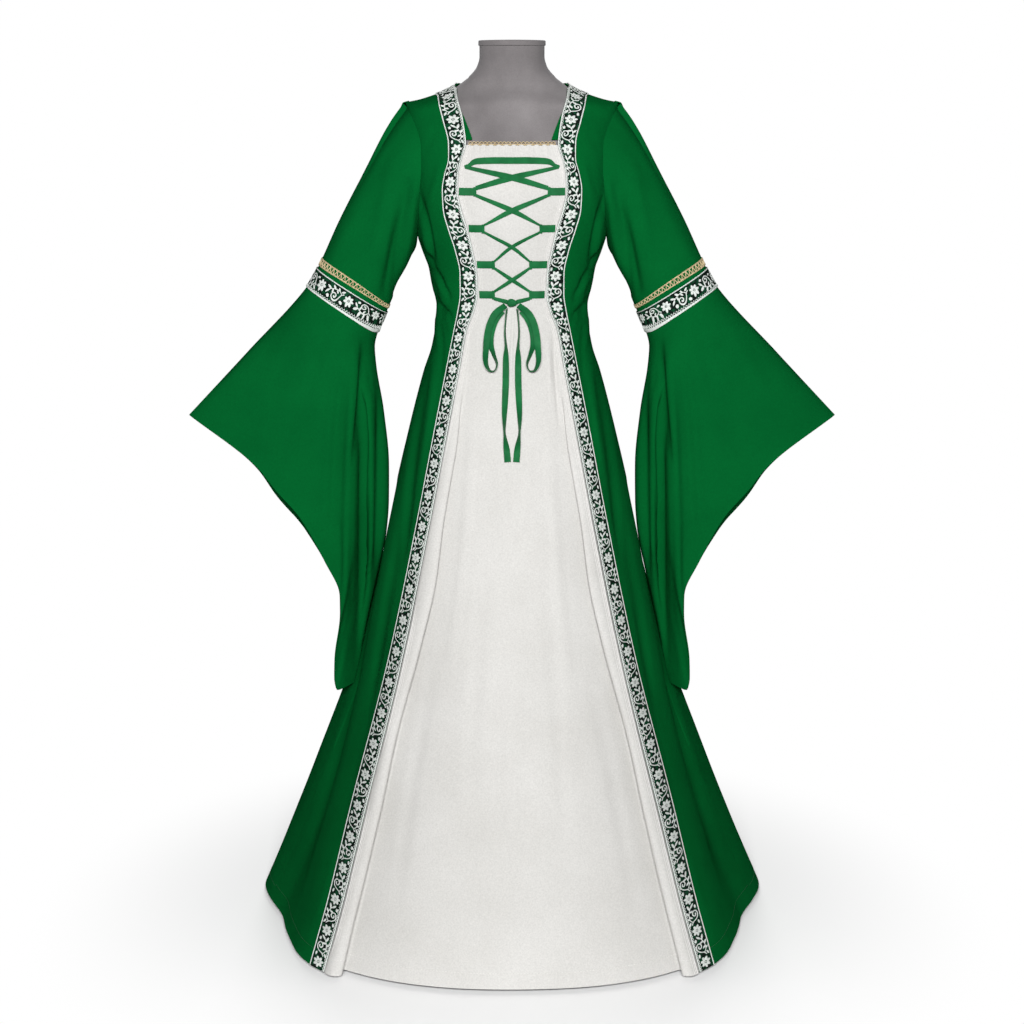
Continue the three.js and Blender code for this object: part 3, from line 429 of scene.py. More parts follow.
def placed(azimuth, height, radius):
    turn = np.radians(azimuth)
    parts = np.broadcast_arrays(radius * np.sin(turn), -radius * np.cos(turn), height)
    return np.stack(parts, -1).astype(float)


def on_body(azimuth, height):
    return rounded_shoulder(placed(azimuth, height, outer_radius(azimuth, height)))


def on_main(azimuth, height):
    return rounded_shoulder(placed(azimuth, height, main_radius(azimuth, height)))


def front_azimuth(side, height):
    side, height = np.broadcast_arrays(np.asarray(side, float), np.asarray(height, float))
    return solve(0, 90, side, lambda a: outer_radius(a, height) * np.sin(np.radians(a)))


def back_azimuth(side, height):
    side, height = np.broadcast_arrays(np.asarray(side, float), np.asarray(height, float))
    return 180 - solve(
        0, 90, side, lambda a: main_radius(180 - a, height) * np.sin(np.radians(a))
    )


# Grids of points and the meshes made from them


def unit(vectors):
    length = np.linalg.norm(vectors, axis=-1, keepdims=True)
    return vectors / np.maximum(length, 1e-9)


def grid_normals(grid, closed=False, flip=False):
    if closed:
        across = np.roll(grid, -1, 1) - np.roll(grid, 1, 1)
    else:
        across = np.gradient(grid, axis=1)
    normal = unit(np.cross(across, np.gradient(grid, axis=0)))
    seam = (np.abs(grid[..., 1]) < SEAM) & (not closed)
    normal[seam, 1] = 0
    normal = unit(normal)
    return -normal if flip else normal


def crease_lift(side, height, creases):
    """How far creases lift each point. Each fades out towards its ends and its sides."""
    total = np.zeros(np.shape(side))
    for x0, z0, x1, z1, half, depth, bow in creases:
        run = math.hypot(x1 - x0, z1 - z0)
        ux, uz = (x1 - x0) / run, (z1 - z0) / run
        t = ((side - x0) * ux + (height - z0) * uz) / run
        apart = (side - x0) * uz - (height - z0) * ux - bow * 4 * t * (1 - t)
        ends = np.sin(np.pi * np.clip(t, 0, 1)) ** 0.7
        total = total + depth * ends * bump(apart / half)
    return total


def ripple(grid):
    """Slow unevenness of hanging cloth, which fades out above the hips"""
    x, y, z = grid[..., 0], grid[..., 1], grid[..., 2]
    wave = np.sin(x / 31 + 0.9 * np.sin(z / 97)) * np.sin(z / 143 + y / 53)
    wave += 0.6 * np.sin(y / 23 + 1.7 + np.sin(z / 71)) * np.sin(z / 83 + x / 61)
    return 0.9 * wave * ease((1000 - z) / 250)


def edge_fade(grid, columns=5, top=6):
    """Zero at the seams, so that neighbouring pieces still meet there"""
    high, wide = grid.shape[:2]
    j = np.arange(wide)
    i = np.arange(high)[:, None]
    sides = ease(np.minimum(j, wide - 1 - j) / columns)
    return sides * ease((high - 1 - i) / top)


def lifted(grid, lift, closed=False, flip=False):
    return grid + grid_normals(grid, closed, flip) * lift[..., None]


def new_object(name, points, faces, material, smooth=60):
    mesh = bpy.data.meshes.new(name)
    mesh.from_pydata((np.asarray(points) * 0.001).tolist(), [], faces)
    mesh.shade_smooth()
    mesh.set_sharp_from_angle(angle=math.radians(smooth))
    mesh.materials.append(material)
    mesh.validate()
    piece = bpy.data.objects.new(name, mesh)
    scene.collection.objects.link(piece)
    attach(piece, "root")
    return piece


def shell_faces(high, wide, closed):
    """Faces of a wall between two grids, one after the other in the list of points"""
    columns = wide if closed else wide - 1
    i, j = np.meshgrid(np.arange(high - 1), np.arange(columns), indexing="ij")
    a, b = i * wide + j, i * wide + (j + 1) % wide
    face = np.stack([a, b, b + wide, a + wide], -1).reshape(-1, 4)
    back = face[:, ::-1] + high * wide
    other = high * wide
    j = np.arange(columns)
    low, low_next = j, (j + 1) % wide
    high_row, high_next = low + (high - 1) * wide, low_next + (high - 1) * wide
    rims = [
        np.stack([low_next, low, low + other, low_next + other], -1),
        np.stack([high_row, high_next, high_next + other, high_row + other], -1),
    ]
    if not closed:
        k = np.arange(high - 1) * wide
        last = k + wide - 1
        rims.append(np.stack([k, k + wide, k + wide + other, k + other], -1))
        rims.append(np.stack([last + wide, last, last + other, last + wide + other], -1))
    return np.concatenate([face, back, *rims])


def shell(name, grid, material, slot, thick=CLOTH, raised=0.0, closed=False, flip=False):
    """A thin wall whose outer face lies a given distance outside a grid of points"""
    normal = grid_normals(grid, closed, flip)
    outer = grid + normal * raised
    inner = outer - normal * thick
    high, wide = grid.shape[:2]
    points = np.concatenate([outer.reshape(-1, 3), inner.reshape(-1, 3)])
    faces = shell_faces(high, wide, closed)
    first = points[faces[:high * 3, :3]]
    turned = np.cross(first[:, 1] - first[:, 0], first[:, 2] - first[:, 0])
    facing = np.einsum("ij,ij->i", turned, normal.reshape(-1, 3)[faces[:high * 3, 0]])
    if facing.sum() < 0:
        faces = faces[:, ::-1]
    return new_object(name, points, faces.tolist(), material)


def cloth_piece(node, grid, material, slot, held="draped", closed=False, flip=False):
    piece = shell(f"{node}_cloth", grid, material, slot, closed=closed, flip=flip)
    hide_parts(node)
    return piece


def mirror(grid):
    """The same grid on the other side, with its columns still running from -X to +X"""
    return (grid * [-1, 1, 1])[:, ::-1]


def spaced(low, high, step):
    return np.linspace(low, high, max(2, int(round((high - low) / step)) + 1))


# Materials. Each is made of nodes on object coordinates, which are metres in the frame.


class Nodes:
    """A material's node tree, with short calls for the nodes that are used here"""

    def __init__(self, name):
        self.material = bpy.data.materials.new(name)
        self.material.use_nodes = True
        self.tree = self.material.node_tree
        self.shader = self.tree.nodes["Principled BSDF"]
        self.place = self.tree.nodes.new("ShaderNodeTexCoord").outputs["Object"]

    def add(self, kind, inputs=(), **settings):
        node = self.tree.nodes.new(kind)
        for key, value in settings.items():
            setattr(node, key, value)
        for key, value in dict(inputs).items():
            if isinstance(value, bpy.types.NodeSocket):
                self.tree.links.new(value, node.inputs[key])
            else:
                node.inputs[key].default_value = value
        return node

    def noise(self, scale, detail=3.0, stretch=(1, 1, 1)):
        place = self.add("ShaderNodeMapping", {"Vector": self.place, "Scale": stretch})
        inputs = {"Vector": place.outputs[0], "Scale": scale, "Detail": detail}
        return self.add("ShaderNodeTexNoise", inputs).outputs["Fac"]

    def ramp(self, factor, *stops):
        node = self.add("ShaderNodeValToRGB", {"Fac": factor})
        points = node.color_ramp.elements
        while len(points) < len(stops):
            points.new(0.5)
        for point, (at, colour) in zip(points, stops):
            point.position = at
            point.color = (*colour, 1.0)
        return node.outputs["Color"]

    def product(self, a, b):
        inputs = {0: 1.0, 6: a, 7: b}
        mixer = self.add("ShaderNodeMix", inputs, data_type="RGBA", blend_type="MULTIPLY")
        return mixer.outputs[2]

    def bands(self, scale, distortion, way, detail=2.0):
        inputs = {"Vector": self.place, "Scale": scale, "Distortion": distortion, "Detail": detail}
        wave = self.add("ShaderNodeTexWave", inputs, bands_direction=way)
        return wave.outputs["Fac"]

    def bumps(self, *layers):
        """Each layer is a height, its strength and its distance in metres"""
        normal = None
        for height, strength, distance in layers:
            inputs = {"Height": height, "Strength": strength, "Distance": distance}
            if normal is not None:
                inputs["Normal"] = normal
            normal = self.add("ShaderNodeBump", inputs).outputs["Normal"]
        self.tree.links.new(normal, self.shader.inputs["Normal"])

    def set(self, **values):
        for name, value in values.items():
            socket = self.shader.inputs[name.replace("_", " ")]
            if isinstance(value, bpy.types.NodeSocket):
                self.tree.links.new(value, socket)
            else:
                socket.default_value = value


LOOPS = 1700  # scale of the knit's rows


def knit(name, deep, lit, rough, sheen, tint, nap=0.35, slub=0.12):
    """Fine stretch knit: rows of loops, a faint mottle and a soft sheen"""
    n = Nodes(name)
    mottle = n.noise(9, 4)
    fine = n.noise(420, 2)
    colour = n.ramp(mottle, (0.3, deep), (0.75, lit))
    shade = n.ramp(fine, (0.25, (0.82, 0.82, 0.82)), (0.8, (1, 1, 1)))
    n.set(Base_Color=n.product(colour, shade))
    n.set(Roughness=n.ramp(n.noise(26, 3), (0.2, (rough - 0.05,) * 3), (0.8, (rough + 0.07,) * 3)))
    n.set(Sheen_Weight=sheen, Sheen_Roughness=0.4, Sheen_Tint=(*tint, 1.0))
    n.set(Specular_IOR_Level=0.0)
    rows = n.bands(LOOPS, 1.5, "Z", 1.0)
    cell = n.add("ShaderNodeTexVoronoi", {"Vector": n.place, "Scale": LOOPS})
    n.bumps((n.noise(30, 3), slub, 0.004), (rows, nap, 0.0003),
            (cell.outputs["Distance"], nap, 0.0002))
    return n.material


def satin_ribbon():
    n = Nodes("satin_ribbon")
    colour = n.ramp(n.noise(60, 3), (0.25, (0.006, 0.088, 0.026)), (0.8, (0.013, 0.15, 0.046)))
    n.set(Base_Color=colour, Sheen_Weight=0.01, Sheen_Roughness=0.35, Specular_IOR_Level=0.06)
    n.set(Roughness=n.ramp(n.noise(140, 2), (0.2, (0.34,) * 3), (0.8, (0.46,) * 3)))
    n.bumps((n.noise(55, 3), 0.2, 0.002), (n.bands(900, 0.6, "Z"), 0.3, 0.0003))
    return n.material


def jacquard_ground():
    """Warp threads of black and green, with the green showing in patches"""
    n = Nodes("jacquard_ground")
    patch = n.noise(150, 2)
    colour = n.ramp(patch, (0.46, (0.0035, 0.009, 0.006)), (0.56, (0.004, 0.062, 0.024)))
    warp = n.bands(620, 0.8, "DIAGONAL")
    dark = n.ramp(warp, (0.1, (0.5, 0.5, 0.5)), (0.7, (1, 1, 1)))
    n.set(Base_Color=n.product(colour, dark), Roughness=0.78)
    n.set(Specular_IOR_Level=0.1)
    n.bumps((warp, 0.6, 0.0004), (n.noise(700, 2), 0.3, 0.0002))
    return n.material


def thread(name, deep, lit, rough=0.6):
    """Raised thread with its twist"""
    n = Nodes(name)
    n.set(Base_Color=n.ramp(n.noise(260, 3), (0.3, deep), (0.7, lit)), Roughness=rough)
    n.set(Sheen_Weight=0.05, Sheen_Roughness=0.5, Specular_IOR_Level=0.2)
    n.bumps((n.bands(800, 1.0, "DIAGONAL"), 0.5, 0.0003), (n.noise(1500, 2), 0.3, 0.0001))
    return n.material


def suede():
    """Brushed cover of the form, with the nap lying in soft clouds"""
    n = Nodes("suede")
    clouds = n.noise(13, 5, (1, 1, 0.7))
    fine = n.noise(900, 3)
    colour = n.ramp(clouds, (0.3, (0.148, 0.136, 0.138)), (0.72, (0.235, 0.219, 0.221)))
    shade = n.ramp(fine, (0.3, (0.78, 0.78, 0.78)), (0.7, (1.0, 1.0, 1.0)))
    n.set(Base_Color=n.product(colour, shade), Roughness=0.93)
    n.set(Sheen_Weight=0.15, Sheen_Roughness=0.6, Sheen_Tint=(0.9, 0.88, 0.9, 1.0))
    n.bumps((n.noise(38, 4), 0.2, 0.002), (fine, 0.5, 0.0006))
    return n.material


def brushed_steel():
    n = Nodes("brushed_steel")
    lines = n.noise(90, 3, (1, 1, 14))
    n.set(Base_Color=n.ramp(lines, (0.3, (0.42, 0.43, 0.45)), (0.7, (0.62, 0.63, 0.65))))
    n.set(Metallic=1.0, Roughness=n.ramp(lines, (0.2, (0.27,) * 3), (0.8, (0.42,) * 3)))
    n.bumps((lines, 0.15, 0.0005))
    return n.material


GREEN = knit("green_knit", (0.0012, 0.092, 0.019), (0.0016, 0.113, 0.023), 0.47, 0.008,
             (0.1, 0.8, 0.3))
WHITE = knit("white_knit", (0.565, 0.556, 0.533), (0.618, 0.61, 0.59), 0.72, 0.03, (1, 1, 1),
             nap=0.22, slub=0.04)
RIBBON = satin_ribbon()
GROUND = jacquard_ground()
PALE = thread("pale_thread", (0.55, 0.59, 0.56), (0.72, 0.75, 0.72))
GOLD = thread("crochet_thread", (0.46, 0.34, 0.18), (0.66, 0.54, 0.34), 0.75)
GREEN_THREAD = thread("green_thread", (0.002, 0.05, 0.014), (0.004, 0.085, 0.026))
WHITE_THREAD = thread("white_thread", (0.6, 0.59, 0.57), (0.7, 0.69, 0.67))
SUEDE = suede()
STEEL = brushed_steel()

# Camera, at the photo's angle

CAMERA_AT = (0, -3.3, 1.42)
CAMERA_TILT = 12.29
CAMERA_LENS = 70.47


def add_camera():
    camera = bpy.data.objects.new("camera", bpy.data.cameras.new("camera"))
    camera.data.lens = CAMERA_LENS
    camera.data.sensor_width = 36
    camera.location = CAMERA_AT
    camera.rotation_euler = (math.radians(90 - CAMERA_TILT), 0, 0)
    scene.collection.objects.link(camera)
    scene.camera = camera


add_camera()

# The white panel's face, and the lace that lies on it

ON_PANEL = 0.6
LACE_WIDE = 10.5
LACE_THICK = 1.0
LACE_WALL = 0.8
TAB_TALL = 12
TAB_CLEAR = 3.2
LACE_APART = 5.6
OVER = LACE_THICK + LAY
LACE_STEPS = 28
LACE_ACROSS = 7
LACE_CROWN = 0.35  # a ribbon is that much prouder along its middle
# Height, sides of both ends, and the lace's visible width above the tab, below it and in
# the middle of the crossing above it. It is twisted where it looks narrow.
TAB_ROWS = [
    (1241.5, 83, 59.5, 7, 5, 9.5),
    (1183.8, 68, 47, 3.4, 4, 8),
    (1125.8, 55.5, 31, 3.4, 4.5, 5.8),
    (1077, 52, 31, 4, 5.5, 6.4),
]
LACE_TOP = {"bar": 1289, "first": 1279, "side": 74, "wide": 5}
# The bar folds down into the first crossing
BAR_SIDES = [-74, -66, -56, -30, 0, 30, 56, 66, 74]
BAR_END = {"start": 50, "drop": 9.5, "wide": 4, "out": 1.8}
# The lace where it goes round a tab's end
TURN = {"wide": 4.6, "out": 1.8, "past": 1.5, "inside": 1.7}
KNOT = {"height": 1065, "wide": 17, "tall": 13, "deep": 9.6, "out": 0.6, "share": 0.96}
TIE = {"wide": 7, "out": 2.2, "end": 7.4}
# Side, height, distance off the panel, and how far the ribbon is turned flat
LOOP = [
    (10, 1063, 12.5, 60),
    (24, 1050, 13, 85),
    (32, 1034, 12, 90),
    (37, 1015, 11, 78),
    (40, 992, 10, 55),
    (41, 970, 10, 32),
    (36, 956, 9.5, 16),
    (27, 955, 9, 14),
    (23, 966, 7.5, 20),
    (28, 981, 6, 38),
    (33, 998, 5, 66),
    (32, 1018, 4.5, 90),
    (25, 1038, 4.5, 90),
    (15, 1052, 5, 80),
]
TAIL = [
    (8.5, 1055, 6.4, 12),
    (10.5, 1035, 6.6, 8),
    (11.5, 1015, 6.6, 10),
    (10, 994, 6.4, 20),
    (10, 972, 5, 60),
    (10, 938, 4, 82),
    (11.5, 905, 4.5, 60),
    (12.5, 880, 5.5, 35),
    (12, 857, 6, 15),
    (8.5, 831, 4.5, 70),
    (7, 814, 3.5, 85),
]


def flat_panel(side, height):
    azimuth = solve(
        0, 89, np.abs(side), lambda a: main_radius(a, height) * np.sin(np.radians(a))
    )
    point = on_main(azimuth, height)
    point[..., 0] = side
    return point


def panel_normal(side, height):
    step = 3.0
    right = flat_panel(side + step, height) - flat_panel(side - step, height)
    up = flat_panel(side, height + step) - flat_panel(side, height - step)
    return unit(np.cross(right, up))


def on_panel(side, height, out):
    side, height = np.asarray(side, float), np.asarray(height, float)
    return flat_panel(side, height) + panel_normal(side, height) * np.reshape(out, (-1, 1))


def ribbon_grid(at, across, out, wide):
    """Points across a ribbon, prouder along its middle"""
    share = np.linspace(-0.5, 0.5, LACE_ACROSS)
    crown = LACE_CROWN * (1 - (2 * share) ** 2)
    across = unit(across) * np.reshape(wide, (-1, 1))
    return at[:, None] + across[:, None] * share[:, None] + out[:, None] * crown[:, None]


def ribbon(name, node, at, across, out, wide, mirrored=False):
    grid = ribbon_grid(at, across, out, wide) + out[:, None] * LACE_THICK
    facing = np.einsum("ij,ij->i", grid_normals(grid)[:, LACE_ACROSS // 2], out).sum() < 0
    if mirrored:
        grid = grid * [-1, 1, 1]
        facing = not facing
    piece = shell(name, grid, RIBBON, "ribbon", thick=LACE_WALL, flip=facing)
    if node:
        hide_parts(node)
    return piece


def panel_ribbon(name, node, stops, base, lift, mirrored=False):
    """A ribbon over the panel through stops of (side, height, width)"""
    side, height, wide = curve_points(stops, LACE_STEPS).T
    t = np.linspace(0, 1, LACE_STEPS + 1)
    raised = base + lift * ease((0.5 - np.abs(t - 0.5)) / 0.25)
    at = on_panel(side, height, raised)
    out = panel_normal(side, height)
    way = np.gradient(at, axis=0)
    return ribbon(name, node, at, np.cross(out, way), out, wide, mirrored)


def curve_points(rows, steps):
    """A smooth curve through rows of numbers, read at even steps"""
    rows = np.array(rows, float)
    padded = np.concatenate([[2 * rows[0] - rows[1]], rows, [2 * rows[-1] - rows[-2]]])
    t = np.linspace(0, len(rows) - 1, steps + 1)
    i = np.minimum(t.astype(int), len(rows) - 2)
    f = (t - i)[:, None]
    a, b, c, d = (padded[i + k] for k in range(4))
    return 0.5 * (2 * b + (c - a) * f + (2 * a - 5 * b + 4 * c - d) * f ** 2
                  + (3 * b - a - 3 * c + d) * f ** 3)


def hanging_ribbon(name, node, rows, mirrored):
    """A free stretch of lace"""
    line = curve_points(rows, len(rows) * 8)
    at = on_panel(line[:, 0], line[:, 1], line[:, 2])
    way = unit(np.gradient(at, axis=0))
    level = unit(np.cross(panel_normal(at[:, 0], at[:, 2]), way))
    facing = unit(np.cross(way, level))
    turn = np.radians(line[:, 3:4])
    across = level * np.sin(turn) + facing * np.cos(turn)
    out = unit(np.cross(way, across))
    piece = ribbon(name, node, at, across, out, np.full(len(at), LACE_WIDE), mirrored)


for side_name, is_right in (("right", True), ("left", False)):
    hanging_ribbon(f"tail_{side_name}", f"lace_tail_{side_name}", TAIL, is_right)
    hanging_ribbon(f"loop_{side_name}", f"lace_loop_{side_name}", LOOP, is_right)


def add_crossing(number, upper, lower, middle):
    """Two laces that cross from the tabs of one row to the next, (side, height, width)"""
    swap = 1 if number % 2 else -1
    for layer, sign, lift in (("under", swap, 0), ("over", -swap, OVER)):
        stops = [
            (sign * upper[0], upper[1], upper[2]),
            (0, (upper[1] + lower[1]) / 2, middle),
            (-sign * lower[0], lower[1], lower[2]),
        ]
        node = f"lace_{layer}_{number}"
        panel_ribbon(f"{node}_ribbon", node, stops, ON_PANEL, lift)


def add_tab(number, side_name, row):
    """A tab of folded ribbon, and the lace that goes round its end"""
    height, start, end = row[:3]
    is_right = side_name == "right"
    node = f"lace_tab_{number}_{side_name}"
    stops = [(side, height, TAB_TALL) for side in (start, (start + end) / 2, end)]
    panel_ribbon(f"{node}_loop", node, stops, ON_PANEL, 0, is_right)
    reach = LACE_APART + TURN["past"]
    stops = [(end - TURN["inside"], height + reach * k, TURN["wide"]) for k in (1, 0, -1)]
    panel_ribbon(f"lace_turn_{number}_{side_name}", None, stops, TURN["out"], 0, is_right)


def add_bar():
    sides = np.array(BAR_SIDES, float)
    end = ease((np.abs(sides) - BAR_END["start"]) / (LACE_TOP["side"] - BAR_END["start"]))
    heights = LACE_TOP["bar"] - BAR_END["drop"] * end
    wide = mix(LACE_WIDE, BAR_END["wide"], end)
    stops = np.stack([sides, heights, wide], -1)
    panel_ribbon("lace_bar_ribbon", "lace_bar", stops, BAR_END["out"], 0)


def add_lacing():
    add_bar()
    upper = (LACE_TOP["side"] - 1, LACE_TOP["first"], LACE_TOP["wide"])
    for number, row in enumerate(TAB_ROWS, 1):
        height, _, end, above, below, middle = row
        for side_name in ("right", "left"):
            add_tab(number, side_name, row)
        lower = (end - TAB_CLEAR, height + LACE_APART, above)
        add_crossing(number, upper, lower, middle)
        upper = (end - TAB_CLEAR, height - LACE_APART, below)
    stop = (TIE["end"], KNOT["height"] + 1, TIE["wide"])
    stops = [upper, tuple((a + b) / 2 for a, b in zip(upper, stop)), stop]
    for side_name in ("right", "left"):
        node = f"lace_tie_{side_name}"
        panel_ribbon(f"{node}_ribbon", node, stops, TIE["out"], 0, side_name == "right")


def closed_rings(name, grid, material, smooth=40):
    """Rings of points, closed by a middle point at each end"""
    high, wide = grid.shape[:2]
    points = grid.reshape(-1, 3).tolist()
    points += [grid[0].mean(0).tolist(), grid[-1].mean(0).tolist()]
    faces = []
    for i in range(high - 1):
        for j in range(wide):
            a, b = i * wide + j, i * wide + (j + 1) % wide
            faces.append((a, b, b + wide, a + wide))
    base, last = high * wide, (high - 1) * wide
    for j in range(wide):
        faces.append((base, (j + 1) % wide, j))
        faces.append((base + 1, last + j, last + (j + 1) % wide))
    return new_object(name, points, faces, material, smooth)


def add_knot():
    """The bow's knot: a soft pad of ribbon with the wraps showing round it"""
    theta = np.linspace(0.06, math.pi - 0.06, 34)[:, None]
    phi = np.linspace(0, 2 * math.pi, 56, endpoint=False)[None, :]
    wrap = 1 + 0.07 * np.cos(3 * theta + 1.1 * np.sin(phi)) + 0.04 * np.sin(2 * phi)
    x = 0.5 * KNOT["wide"] * np.cos(theta) * wrap
    y = 0.5 * KNOT["deep"] * np.sin(theta) * np.sin(phi) * wrap
    z = 0.5 * KNOT["tall"] * np.sin(theta) * np.cos(phi) * wrap
    seat = on_panel([0.0], [KNOT["height"]], KNOT["out"] + KNOT["deep"] / 2)[0]
    grid = np.stack(np.broadcast_arrays(x, y, z), -1) * KNOT["share"] + seat
    knot = closed_rings("bow_knot", grid, RIBBON, 80)
    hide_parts("lace_knot")


add_lacing()
add_knot()

# The body's pieces


BRAID_TILT = 6  # the braid's rows lean as it goes over the shoulder
BRAID_CLEAR = 14  # creases start that far from the braid
UNDER_COLUMNS, FRONT_COLUMNS = 5, 42
BACK_COLUMNS = 110


def braid_places(height):
    """Azimuths and heights of the braid's inner and outer edge at level rows"""
    tilt = BRAID_TILT * ease((height - NECK_TURN) / (BRAID_TOP - NECK_TURN))
    inner = (front_azimuth(BRAID("inner", height), height + tilt), height + tilt)
    outer = (front_azimuth(BRAID("outer", height), height - tilt), height - tilt)
    return np.stack(inner, -1), np.stack(outer, -1)


def shoulder_places(edge):
    height = shoulder_height(BRAID(edge, BRAID_TOP))
    return np.array([90.0, float(height)])


def seam_share(inner, outer, sign):
    wide = np.linalg.norm(on_body(*inner.T) - on_body(*outer.T), axis=-1)
    return 0.5 + sign * SEAM / 2 / wide


def pleat_fold():
    """The white side pleat folds under itself and out again: places along it and out of it"""
    return curve_points([
        (0.35, 0), (0.52, 0.15), (0.42, 0.38), (0.1, 0.48), (-0.05, 0.72), (0.08, 0.98),
        (0.45, 1.1), (1, 1),
    ], 28)


PLEAT_START, PLEAT_FULL = 7, 12
GATHERS = [-61, -52, -43, -31, -22, -9, 3, 12, 29, 36, 50, 60]  # as uneven as they show
GATHER = {"half": 3.6, "depth": 1.5, "tall": 24, "reach": 66}


def white_grid():
    """Half of the panel from the centre to the seam under the braid, then both halves"""
    height = spaced(HEM, NECK_FRONT, GRAIN)
    inner, outer = braid_places(height)
    pleat = pleat_azimuth(height)
    proud = PLEAT("proud", height)
    folded = ease((proud - PLEAT_START) / (PLEAT_FULL - PLEAT_START))
    wide = inner[:, 0] - pleat
    fold = pleat_fold()
    plain = np.linspace(0, 1, len(fold))
    start = pleat + mix(0, fold[0, 0], folded) * wide
    flat = on_main(start[:, None] * np.linspace(0, 1, 65)[:-1], height[:, None])
    azimuth = pleat[:, None] + wide[:, None] * mix(plain, fold[:, 0], folded[:, None])
    lift = proud[:, None] * mix(ease(plain), fold[:, 1], folded[:, None])
    pleated = placed(azimuth, height[:, None], main_radius(azimuth, height[:, None]) + lift)
    pleated[:, -1] = on_body(azimuth[:, -1], height)
    share = seam_share(inner, outer, -1)[:, None] * np.linspace(0, 1, 5)[1:]
    under = mix(inner[:, None], outer[:, None], share[..., None])
    strip = on_body(under[..., 0], under[..., 1])
    half = np.concatenate([flat, pleated, strip], 1)
    grid = np.concatenate([(half * [-1, 1, 1])[:, :0:-1], half], 1)
    side, level = grid[..., 0], grid[..., 2]
    near = ease((level - NECK_FRONT + GATHER["tall"]) / GATHER["tall"])
    for i, at in enumerate(GATHERS):
        depth = GATHER["depth"] * (0.7 + 0.5 * math.sin(2.4 * i) ** 2)
        grid[..., 1] += depth * near * bump((side - at) / GATHER["half"])
    grid[..., 2] += np.sin(side / 1.9) * near ** 6 * (np.abs(side) < GATHER["reach"])
    lift = crease_lift(side, level, WHITE_CREASES) * edge_fade(grid, 34, 1)
    return lifted(grid, lift + ripple(grid) * edge_fade(grid, 1, 1))


def side_gap(height):
    return np.degrees(SEAM / 2 / BODY("side", height))


def armhole_place(t, behind):
    t = np.asarray(t, float)
    height = mix(UNDERARM, SHOULDER_TIP, (1 - np.cos(np.pi * t)) / 2)
    side = ARMHOLE("side", height)
    azimuth = back_azimuth(side, height) if behind else front_azimuth(side, height)
    ends = (t <= 0) | (t >= 1)
    return np.stack([np.where(ends, 90.0, azimuth), height], -1)


def front_grid():
    """The wearer's left front, from under the braid to the side seam and the armhole"""
    height = spaced(HEM, LAST_LEVEL, GRAIN)
    inner, outer = braid_places(height)
    share = seam_share(inner, outer, 1)[:, None]
    edge = np.where(height[:, None] < NECK_TURN, mix(inner, outer, share), inner)
    level = np.stack([90 - side_gap(height), height], -1)
    turn = (height - UNDERARM) / (BRAID_TOP - UNDERARM)
    side = np.where(height[:, None] <= UNDERARM, level, armhole_place(np.clip(turn, 0, 1), False))
    within = np.linspace(0, 1, UNDER_COLUMNS)[:-1, None]
    out = np.linspace(0, 1, FRONT_COLUMNS)
    under = edge[:, None] + (outer - edge)[:, None] * within
    beyond = outer[:, None] + (side - outer)[:, None] * out[:, None]
    places = np.concatenate([under, beyond], 1)
    top_inner, top_outer = shoulder_places("inner"), shoulder_places("outer")
    top_under = top_inner + (top_outer - top_inner) * within
    reach = mix(BODY("side", top_outer[1]), BODY("side", SHOULDER_TIP), out)
    top_beyond = np.stack([np.full(FRONT_COLUMNS, 90.0), shoulder_height(reach)], -1)
    top = np.concatenate([top_under, top_beyond])
    last = [mix(places[-1], top, t) for t in (0.25, 0.5, 0.75, 1)]
    places = np.concatenate([places, last])
    grid = on_body(places[..., 0], places[..., 1])
    grid[-1, :, 1] -= SEAM / 2
    lift = crease_lift(grid[..., 0], grid[..., 2], FRONT_CREASES)
    first = len(within)
    beside = ease((grid[..., 0] - grid[:, first:first + 1, 0]) / BRAID_CLEAR)
    return lifted(grid, (lift + ripple(grid)) * edge_fade(grid) * beside)


def back_grid():
    """From side seam to side seam, with the armholes and the neck at the top"""
    column = np.arange(-BACK_COLUMNS, BACK_COLUMNS + 1)
    share = np.abs(column) / BACK_COLUMNS
    sign = np.sign(column) + (share == 0)
    height = spaced(HEM, UNDERARM, 7)
    lower = 180 - (90 - side_gap(height))[:, None] * share
    low = on_main(lower, height[:, None])
    t = np.linspace(0, 1, 40)[1:, None]
    edge = armhole_place(t[:, 0], True)[:, :1]
    spread = mix(share, np.minimum(1, share / NECK_SHARE), t ** 3)
    along = (share - NECK_SHARE) / (1 - NECK_SHARE)
    reach = mix(BODY("side", NECK_POINT), BODY("side", SHOULDER_TIP), np.clip(along, 0, 1))
    neck = mix(NECK_BACK, NECK_POINT, ease(share / NECK_SHARE))
    top = np.where(share <= NECK_SHARE, neck, shoulder_height(reach))
    rise = mix(t, (1 - np.cos(np.pi * t)) / 2, share ** 2)
    level = mix(UNDERARM, top, rise)
    high = on_main(180 - (180 - edge) * spread, level)
    high[-1, :, 1] += SEAM / 2
    grid = np.concatenate([low, high])
    grid[..., 0] *= sign
    side = np.abs(grid[..., 0]) + CREASE_SHIFT["back"] * np.sign(grid[..., 0])
    lift = crease_lift(side, grid[..., 2], BACK_CREASES) * edge_fade(grid)
    return lifted(grid, lift + ripple(grid) * edge_fade(grid), flip=True)


# The turned-in neck edge: its rows, and how far it shows inside the braid at both ends
TURNING = {"low": 1322, "high": 1366, "rows": 16, "shown": 9, "left": 0.6}


def turning_grid():
    height = np.linspace(TURNING["low"], TURNING["high"], TURNING["rows"])
    side = BRAID("inner", height)
    shown = TURNING["shown"] * (1 - np.linspace(0, 1, TURNING["rows"])) + TURNING["left"]
    sides = np.stack([side - shown, side - shown / 2, side, side + 2.5, side + 5], -1)
    level = np.broadcast_to(height[:, None], sides.shape)
    return on_body(front_azimuth(sides, level), level)


